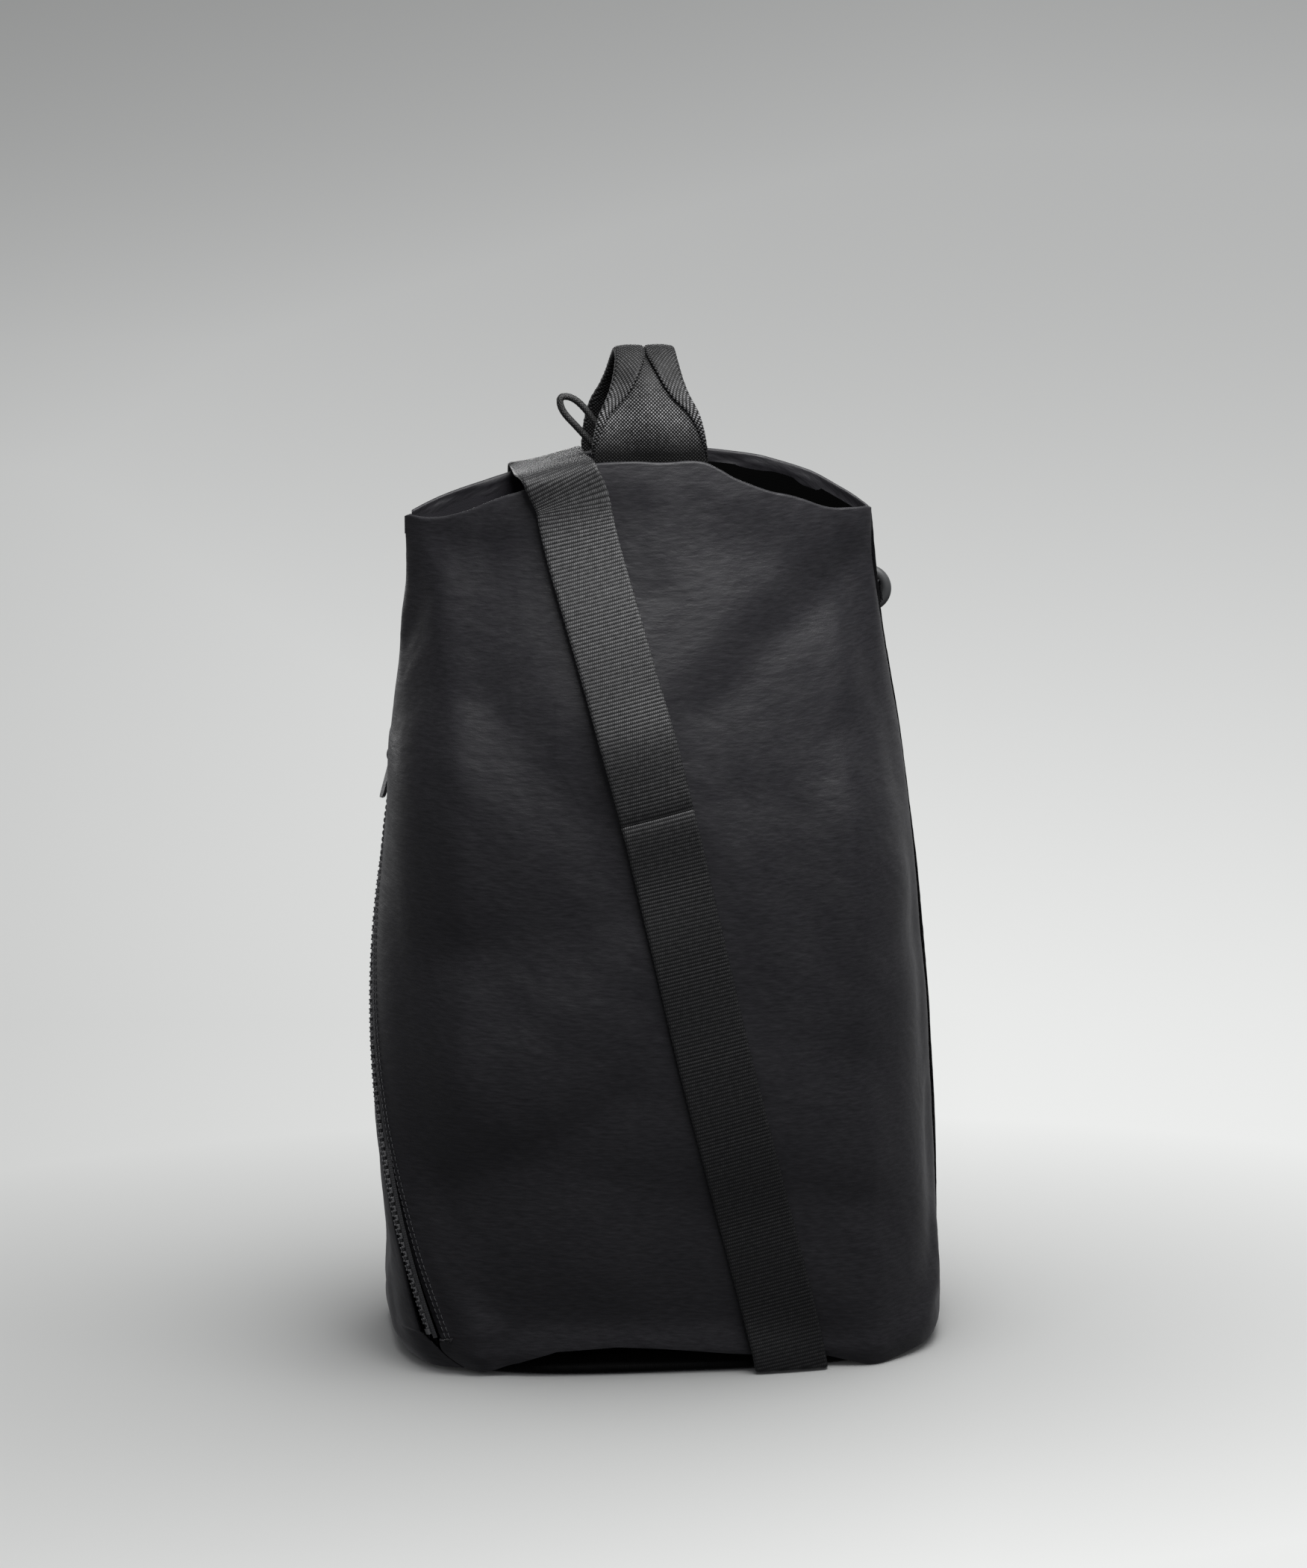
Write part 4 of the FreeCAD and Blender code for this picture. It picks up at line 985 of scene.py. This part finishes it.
def build_strap_back(start):
    """From the middle of the mouth over the back rim, down to the straight run and round the ring's bar.

    start is the length of strap before it, so that the ribs and the painted light and shade carry on.
    """
    z = np.array((440, 420, 395, 365, 335, 305, 275, 250.0))
    reach = STRAP_WIDTH / 2
    plain_out = np.max([wall_y(STRAP_X_RIM + d, z) for d in (-reach, 0, reach)], axis=0)
    y = plain_out + 2.3 + np.maximum(0, 330 - z) * 0.03
    over = [(-6, STRAP_OVER), (10, STRAP_OVER), (17.0, 464.0), (22.9, 462.9), (26.4, 459.9), (27.8, 455.5)]
    line = [(STRAP_X_RIM, a, b) for a, b in over + list(zip(y, z))] + [tuple(BACK_TOP)]
    upper = curve_through(np.array(line, float), 200)
    line = np.concatenate([upper, [BACK_HIGH, (BACK_HIGH + BACK_LOW) / 2, BACK_LOW]])
    radius = EYE_RADIUS + WEBBING / 2
    centre = BACK_LOW - (0, radius, 0)
    turns = np.linspace(0.15, 2 * pi - 0.75, 40)
    eye = centre + radius * np.stack([0 * turns, np.cos(turns), -np.sin(turns)], -1)
    line = np.concatenate([line, eye])
    side = np.tile((1.0, 0.0, 0.0), (len(line), 1))
    rim = np.exp(-(np.minimum(line[:, 2] - STRAP_OVER, 0) / 4) ** 2) * (line[:, 1] < 27)
    side[:, 2] = 0.284 * rim
    middle, s = strap_surface(line, side, np.zeros(len(line)))
    kept = (middle[:, 38, 1] > 0) | (s > 100)
    middle, s = middle[kept], s[kept] - s[kept][0] + start
    middle[0, :, 1] = 0
    strap_webbing("strap_back", middle, s)


build_strap_back(build_strap_front())


# ---- webbing tabs
def keyhole_line(radius, gap, length):
    """Path in a plane: in along one layer, round the bar at the origin and out along the other layer."""
    opening = np.arcsin(gap / radius)
    turns = np.linspace(opening, 2 * pi - opening, 60)
    bar = np.stack([np.cos(turns) * radius, np.sin(turns) * radius], -1)
    run = np.linspace(length, radius + 0.5, 20)
    first = np.stack([run, gap + 0 * run], -1)
    return resample(np.concatenate([first, bar, first[::-1] * (1, -1)]), 240)


def build_tab(name, centre, aim, axis, radius, gap, length, width, thickness, material, node):
    """Webbing folded round a bar: aim points along the layers, axis along the bar."""
    side = np.cross(axis, aim)
    path = keyhole_line(radius, gap, length)
    line = centre + path[:, :1] * aim + path[:, 1:] * side
    t = np.linspace(-width / 2, width / 2, int(width / 0.5) + 1)
    middle = line[:, None] + axis * t[None, :, None]
    s = lengths_along(line)
    weave = weave_height(s[:, None], t[None], 1.5, 0.9, 0.3)
    inside = grid_normals(middle)[120, len(t) // 2] @ (line[120] - centre) < 0
    if inside:
        middle = middle[:, ::-1]
    webbing_strip(name, middle, s, t, thickness, weave, material, "root", replaces=(node,),
                  slot="tab_webbing")


def build_tabs():
    low = BACK_LOW - (0, EYE_RADIUS + WEBBING / 2, 14.0)
    build_tab("ring_tab_back", low, unit(np.array((0, -0.30, -1.0))), RIGHT, 3.2, 0.9, 21.0, STRAP_WIDTH,
              WEBBING, STRAP_WEB, "strap_ring_tab")
    lean, tab_turn = radians(-8.0), atan2(-0.914, 0.406)
    axis = np.array((sin(lean), 0, cos(lean)))
    ahead = np.array((cos(lean), 0, -sin(lean)))
    aim = ahead * cos(tab_turn) + np.array((0, 1.0, 0)) * sin(tab_turn)
    bar = np.array((108.5, 17.5, 392.0))
    build_tab("ring_tab_side", bar, aim, axis, 3.75, 0.8, 15.5, 12.0, 1.4, TAPE_CLOTH, "side_ring_tab")


build_tabs()


# ---- grab handle
HANDLE_X, HANDLE_WIDTH, HANDLE_TOP, HANDLE_SHOULDER = -7.4, 60.0, 522.0, 475.0
HANDLE_FRONT_Y, HANDLE_BACK_Y = -18.6, 35.6
# folded width of the webbing at heights on its way up
HANDLE_WIDTHS = ((440, 60), (464, 60), (474, 57.5), (483, 54), (491, 49.5), (499, 40.5), (506, 35.5),
                 (512, 32), (517, 29.5), (521, 29.2))


def handle_line():
    middle, half = (HANDLE_FRONT_Y + HANDLE_BACK_Y) / 2, (HANDLE_BACK_Y - HANDLE_FRONT_Y) / 2
    rise = HANDLE_TOP - WEBBING - 1.5 - HANDLE_SHOULDER
    turns = np.linspace(0, pi, 60)
    arch = np.stack([middle - half * np.cos(turns), HANDLE_SHOULDER + rise * np.sin(turns)], -1)
    front = [(HANDLE_FRONT_Y - 1.2, 441), (HANDLE_FRONT_Y - 0.5, 452), (HANDLE_FRONT_Y, 464)]
    back = [(HANDLE_BACK_Y, 464), (HANDLE_BACK_Y - 0.6, 452), (HANDLE_BACK_Y - 2.0, 441)]
    return resample(np.concatenate([front, arch, back]), 420)


def build_handle():
    """Webbing arch whose edges fold over on the outside until they meet at the top."""
    line = handle_line()
    ahead = unit(np.gradient(line, axis=0))
    out = np.stack([-ahead[:, 1], ahead[:, 0]], -1)
    s = lengths_along(line)
    t = np.linspace(-HANDLE_WIDTH / 2, HANDLE_WIDTH / 2, 107)
    half = np.interp(line[:, 1], *zip(*HANDLE_WIDTHS))[:, None] / 2
    half = blur(half, 5, 0)
    flap = HANDLE_WIDTH / 2 - half
    radius = np.minimum(1.05, 0.06 + flap * 0.25)
    q = np.abs(t)[None] - (half - pi * radius / 2)
    turn = np.clip(q / radius, 0, pi)
    beyond = np.maximum(q - pi * radius, 0)
    x = np.where(q < 0, np.abs(t)[None], np.maximum(half - radius + radius * np.sin(turn) - beyond, 0.2))
    share = np.clip(beyond / np.maximum(flap, 0.5), 0, 1)
    lift = np.where(q < 0, 0, radius * (1 - np.cos(turn)))
    lift = lift + 0.7 * np.sin(pi * share**0.8) * smoothstep(flap, 6, 14)
    gather = smoothstep(line[:, 1], 466, 490)[:, None] * (1 - smoothstep(line[:, 1], 505, 518)[:, None])
    lift = lift + 1.5 * gather * np.cos(x / np.maximum(half, 1) * pi * 0.9) + 0.8 * gather * np.cos(x / 4.5)
    px = HANDLE_X + np.sign(t)[None] * x
    py = line[:, :1] + out[:, :1] * lift
    pz = line[:, 1:] + out[:, 1:] * lift
    middle = np.stack([px, py, pz], -1)
    a, b = s[:, None] + t[None], s[:, None] - t[None]
    weave = 0.34 * np.abs(np.sin(pi * a / 1.8) * np.sin(pi * b / 1.8)) ** 0.7
    nodes = ("grab_handle", "handle_end_front", "handle_end_back")
    handle = webbing_strip("handle_webbing", middle, s, t, WEBBING, weave, HANDLE_WEB, None,
                           inner_weave=weave, replaces=nodes, slot="handle_webbing")
    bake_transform(handle)


build_handle()


# ---- mouth zip pull
def tube(line, radius, sides, relief):
    """Round cord along a line; relief gives the extra radius at (distance, turn)."""
    ahead = unit(np.gradient(line, axis=0))
    first = unit(np.cross(ahead, (0.3, 1.0, 0.1)))
    second = np.cross(ahead, first)
    turns = np.linspace(0, 2 * pi, sides, endpoint=False)
    s = lengths_along(line)
    r = radius + relief(s[:, None], turns[None])
    around = first[:, None] * np.cos(turns)[None, :, None] + second[:, None] * np.sin(turns)[None, :, None]
    uv = np.stack([turns[None] * radius + 0 * s[:, None], s[:, None] + 0 * turns[None]], -1)
    return line[:, None] + around * r[..., None], uv


def braid(s, turn):
    """Relief of the cord: strands that wind both ways."""
    return 0.22 * (np.abs(np.sin(2 * turn + s * 1.5)) * np.abs(np.sin(2 * turn - s * 1.5))) ** 0.5 - 0.1


# distance along a strand of the loop, and how far the strand stands off the loop's middle there
CORD_SPREAD = ((0.0, 0.0), (0.15, 1.5), (0.9, 3.0), (2.4, 4.0), (5.0, 4.1), (8.5, 3.0), (12.0, 2.2),
               (15.0, 2.1), (18.0, 2.1), (30.0, 2.0), (40, 2.4), (50, 3.6), (62, 4.6), (69, 4.7), (73.5, 3.9),
               (76.6, 2.2), (78.0, 0.0))


def build_cord():
    """Braided cord loop: both strands rise from the slider and part into a loop that turns to face forward."""
    s, spread = np.array(CORD_SPREAD).T
    first, last = radians(8), radians(48)
    bend = s[-1] / (last - first)
    base = np.array((-15.0, 0.0, 429.7))
    lean = first + (last - first) * s / s[-1]
    rise = np.stack([-bend * (cos(first) - np.cos(lean)), 0 * s, bend * (np.sin(lean) - sin(first))], -1)
    face = radians(78) * smoothstep(s, 22, 48)
    cross = np.stack([np.cos(lean) * np.sin(face), np.cos(face), np.sin(lean) * np.sin(face)], -1)
    left, right = (base + rise + cross * (side * spread)[:, None] for side in (-1, 1))
    line = curve_through(np.concatenate([left, right[-2::-1]]), 520)
    points, uv = tube(line, 1.75, 20, braid)
    add_grid("pull_cord", points, CORD_BRAID, "mouth_pull", uv, wrap=True, replaces=("mouth_zip_pull_cord",),
             slot="pull_cord")


build_cord()


# ---- stitching
def stitches(line, normal, pitch, length, radius):
    """Thread stitches along a line, each a short low arch."""
    distance = lengths_along(line)
    parts = []
    for start in np.arange(1.0, distance[-1] - pitch, pitch):
        s = start + np.linspace(0, length, 5)
        path = np.stack([np.interp(s, distance, line[:, k]) for k in range(3)], -1)
        up = np.stack([np.interp(s, distance, normal[:, k]) for k in range(3)], -1)
        path = path + up * (radius * 1.2 * np.sin(np.linspace(0, pi, 5)))[:, None]
        points, _ = tube(path, radius, 6, lambda a, b: 0 * a * b)
        parts.append((points.reshape(-1, 3), grid_faces(5, 6, True).tolist()))
    return parts


def build_stitching():
    """Top-stitching on the front panel's lip beside the side zip."""
    rows = np.arange(len(FRONT))[(FRONT[:, -1, 2] > ZIP_LOW - 4) & (FRONT[:, -1, 2] < ZIP_HIGH + 2)]
    normal = outward(FRONT, -1)
    parts = []
    for offset in (2.6, 4.8):
        line, up = [], []
        for i in rows:
            row = FRONT[i, ::-1][:16]
            distance = lengths_along(row)
            line.append([np.interp(offset, distance, row[:, k]) for k in range(3)])
            up.append([np.interp(offset, distance, normal[i, ::-1][:16, k]) for k in range(3)])
        line, up = np.array(line), unit(np.array(up))
        parts += stitches(line + up * 0.1, up, 3.4, 2.3, 0.24)
    verts, faces = joined(parts)
    add_object("lip_stitching", verts, faces, THREAD, "root", slot="shell_nylon")


build_stitching()


# ---- camera, floor and light
VIEW_TURN, VIEW_RISE, VIEW_DISTANCE = radians(-6), radians(13), 2600.0
VIEW_TARGET = np.array((-3.37, 0.0, 294.13))
LENS = 114.87


def add_camera():
    back = np.array((sin(VIEW_TURN) * cos(VIEW_RISE), -cos(VIEW_TURN) * cos(VIEW_RISE), sin(VIEW_RISE)))
    data = bpy.data.cameras.new("camera")
    data.lens = LENS
    data.sensor_fit = "VERTICAL"
    data.sensor_height = 36
    data.clip_end = 50
    cam = bpy.data.objects.new("camera", data)
    bpy.context.scene.collection.objects.link(cam)
    cam.location = Vector((VIEW_TARGET + back * VIEW_DISTANCE) * MM)
    cam.rotation_euler = Vector(-back).to_track_quat("-Z", "Y").to_euler()
    bpy.context.scene.camera = cam


def glow_round_the_bag(tree):
    """Light given off by the floor: none under the bag, rising away from its foot, which paints a shadow round
    the foot.
    """
    foot_width, foot_depth = 0.15, 0.095
    here = tree.nodes.new("ShaderNodeNewGeometry").outputs["Position"]
    scaled = tree.nodes.new("ShaderNodeVectorMath")
    scaled.operation = "MULTIPLY"
    feed(tree, scaled, {0: here, 1: (1 / foot_width, 1 / foot_depth, 1)})
    away = tree.nodes.new("ShaderNodeVectorMath")
    away.operation = "LENGTH"
    feed(tree, away, {0: scaled.outputs[0]})
    return ramp(tree, away.outputs["Value"], 0.9, 4.0, 0.0, 0.50)


def add_stage():
    """Wide pale floor that glows, with painted light and shade: a little brighter towards the right of the
    view and darker far away.
    """
    reach = 60000.0
    points = np.array([[(x, y, 0.0) for x in (-reach, reach)] for y in (-reach, reach)])
    material, tree, surface = new_material("studio_floor")
    window = tree.nodes.new("ShaderNodeTexCoord").outputs["Window"]
    across, up, _ = add_node(tree, "SeparateXYZ", {0: window}).outputs
    total = ramp(tree, across, 0.0, 0.75, 0.78, 1.0)
    for low, high, near, far in ((0.35, 0.78, 1.0, 1.32), (0.70, 1.0, 1.0, 0.66)):
        total = arithmetic(tree, "MULTIPLY", total, ramp(tree, up, low, high, near, far))
    shade = blend_colours(tree, total, (0, 0, 0), (0.62, 0.625, 0.615))
    feed(tree, surface, {"Base Color": shade, "Emission Color": shade, "Roughness": 1.0,
                         "Specular IOR Level": 0.0, "Emission Strength": glow_round_the_bag(tree)})
    floor = add_grid("studio_floor", points, material, None)
    floor.visible_diffuse = False
    floor.visible_glossy = False
    return floor


def add_area(name, place, aim, size, power, skip=None, only=None):
    """Rectangular lamp; it can leave one object unlit, or light only that one."""
    data = bpy.data.lights.new(name, "AREA")
    data.shape = "RECTANGLE"
    data.size, data.size_y = size
    data.energy = power
    lamp = bpy.data.objects.new(name, data)
    bpy.context.scene.collection.objects.link(lamp)
    lamp.location = place
    lamp.rotation_euler = (Vector(aim) - Vector(place)).to_track_quat("-Z", "Y").to_euler()
    if skip or only:
        linked = bpy.data.collections.new(name + "_linked")
        linked.objects.link(skip or only)
        lamp.light_linking.receiver_collection = linked
        linked.collection_objects[0].light_linking.link_state = "EXCLUDE" if skip else "INCLUDE"


def add_world():
    """Dim fill for the bag; seen directly, it is as pale as the floor."""
    world = bpy.data.worlds.new("world")
    bpy.context.scene.world = world
    world.use_nodes = True
    tree = world.node_tree
    seen = tree.nodes.new("ShaderNodeLightPath").outputs["Is Camera Ray"]
    strength = ramp(tree, seen, 0, 1, 0.21, 0.45)
    feed(tree, tree.nodes["Background"], {0: (0.95, 0.96, 1.0, 1), 1: strength})


finish_cad_nodes()
add_camera()
STAGE = add_stage()
add_area("key", (0.22, -0.42, 1.20), (0, 0, 0.36), (0.8, 0.45), 19, STAGE)
add_area("wide", (0.3, 0.3, 3.2), (0, 0.2, 0), (3.0, 3.0), 45)
add_area("floor", (0.1, -0.1, 1.7), (0, 0, 0), (0.8, 0.8), 11, only=STAGE)
add_area("left_rear", (-1.5, 1.6, 0.6), (0, 0, 0.2), (0.8, 0.8), 8, STAGE)
add_area("right_rear", (1.7, 1.4, 0.8), (0, 0, 0.22), (0.8, 0.8), 5, STAGE)
add_area("rear", (0.1, 2.4, 0.7), (0, 0, 0.2), (1.2, 0.8), 30, STAGE)
add_world()
bpy.context.scene.view_settings.view_transform = "Standard"
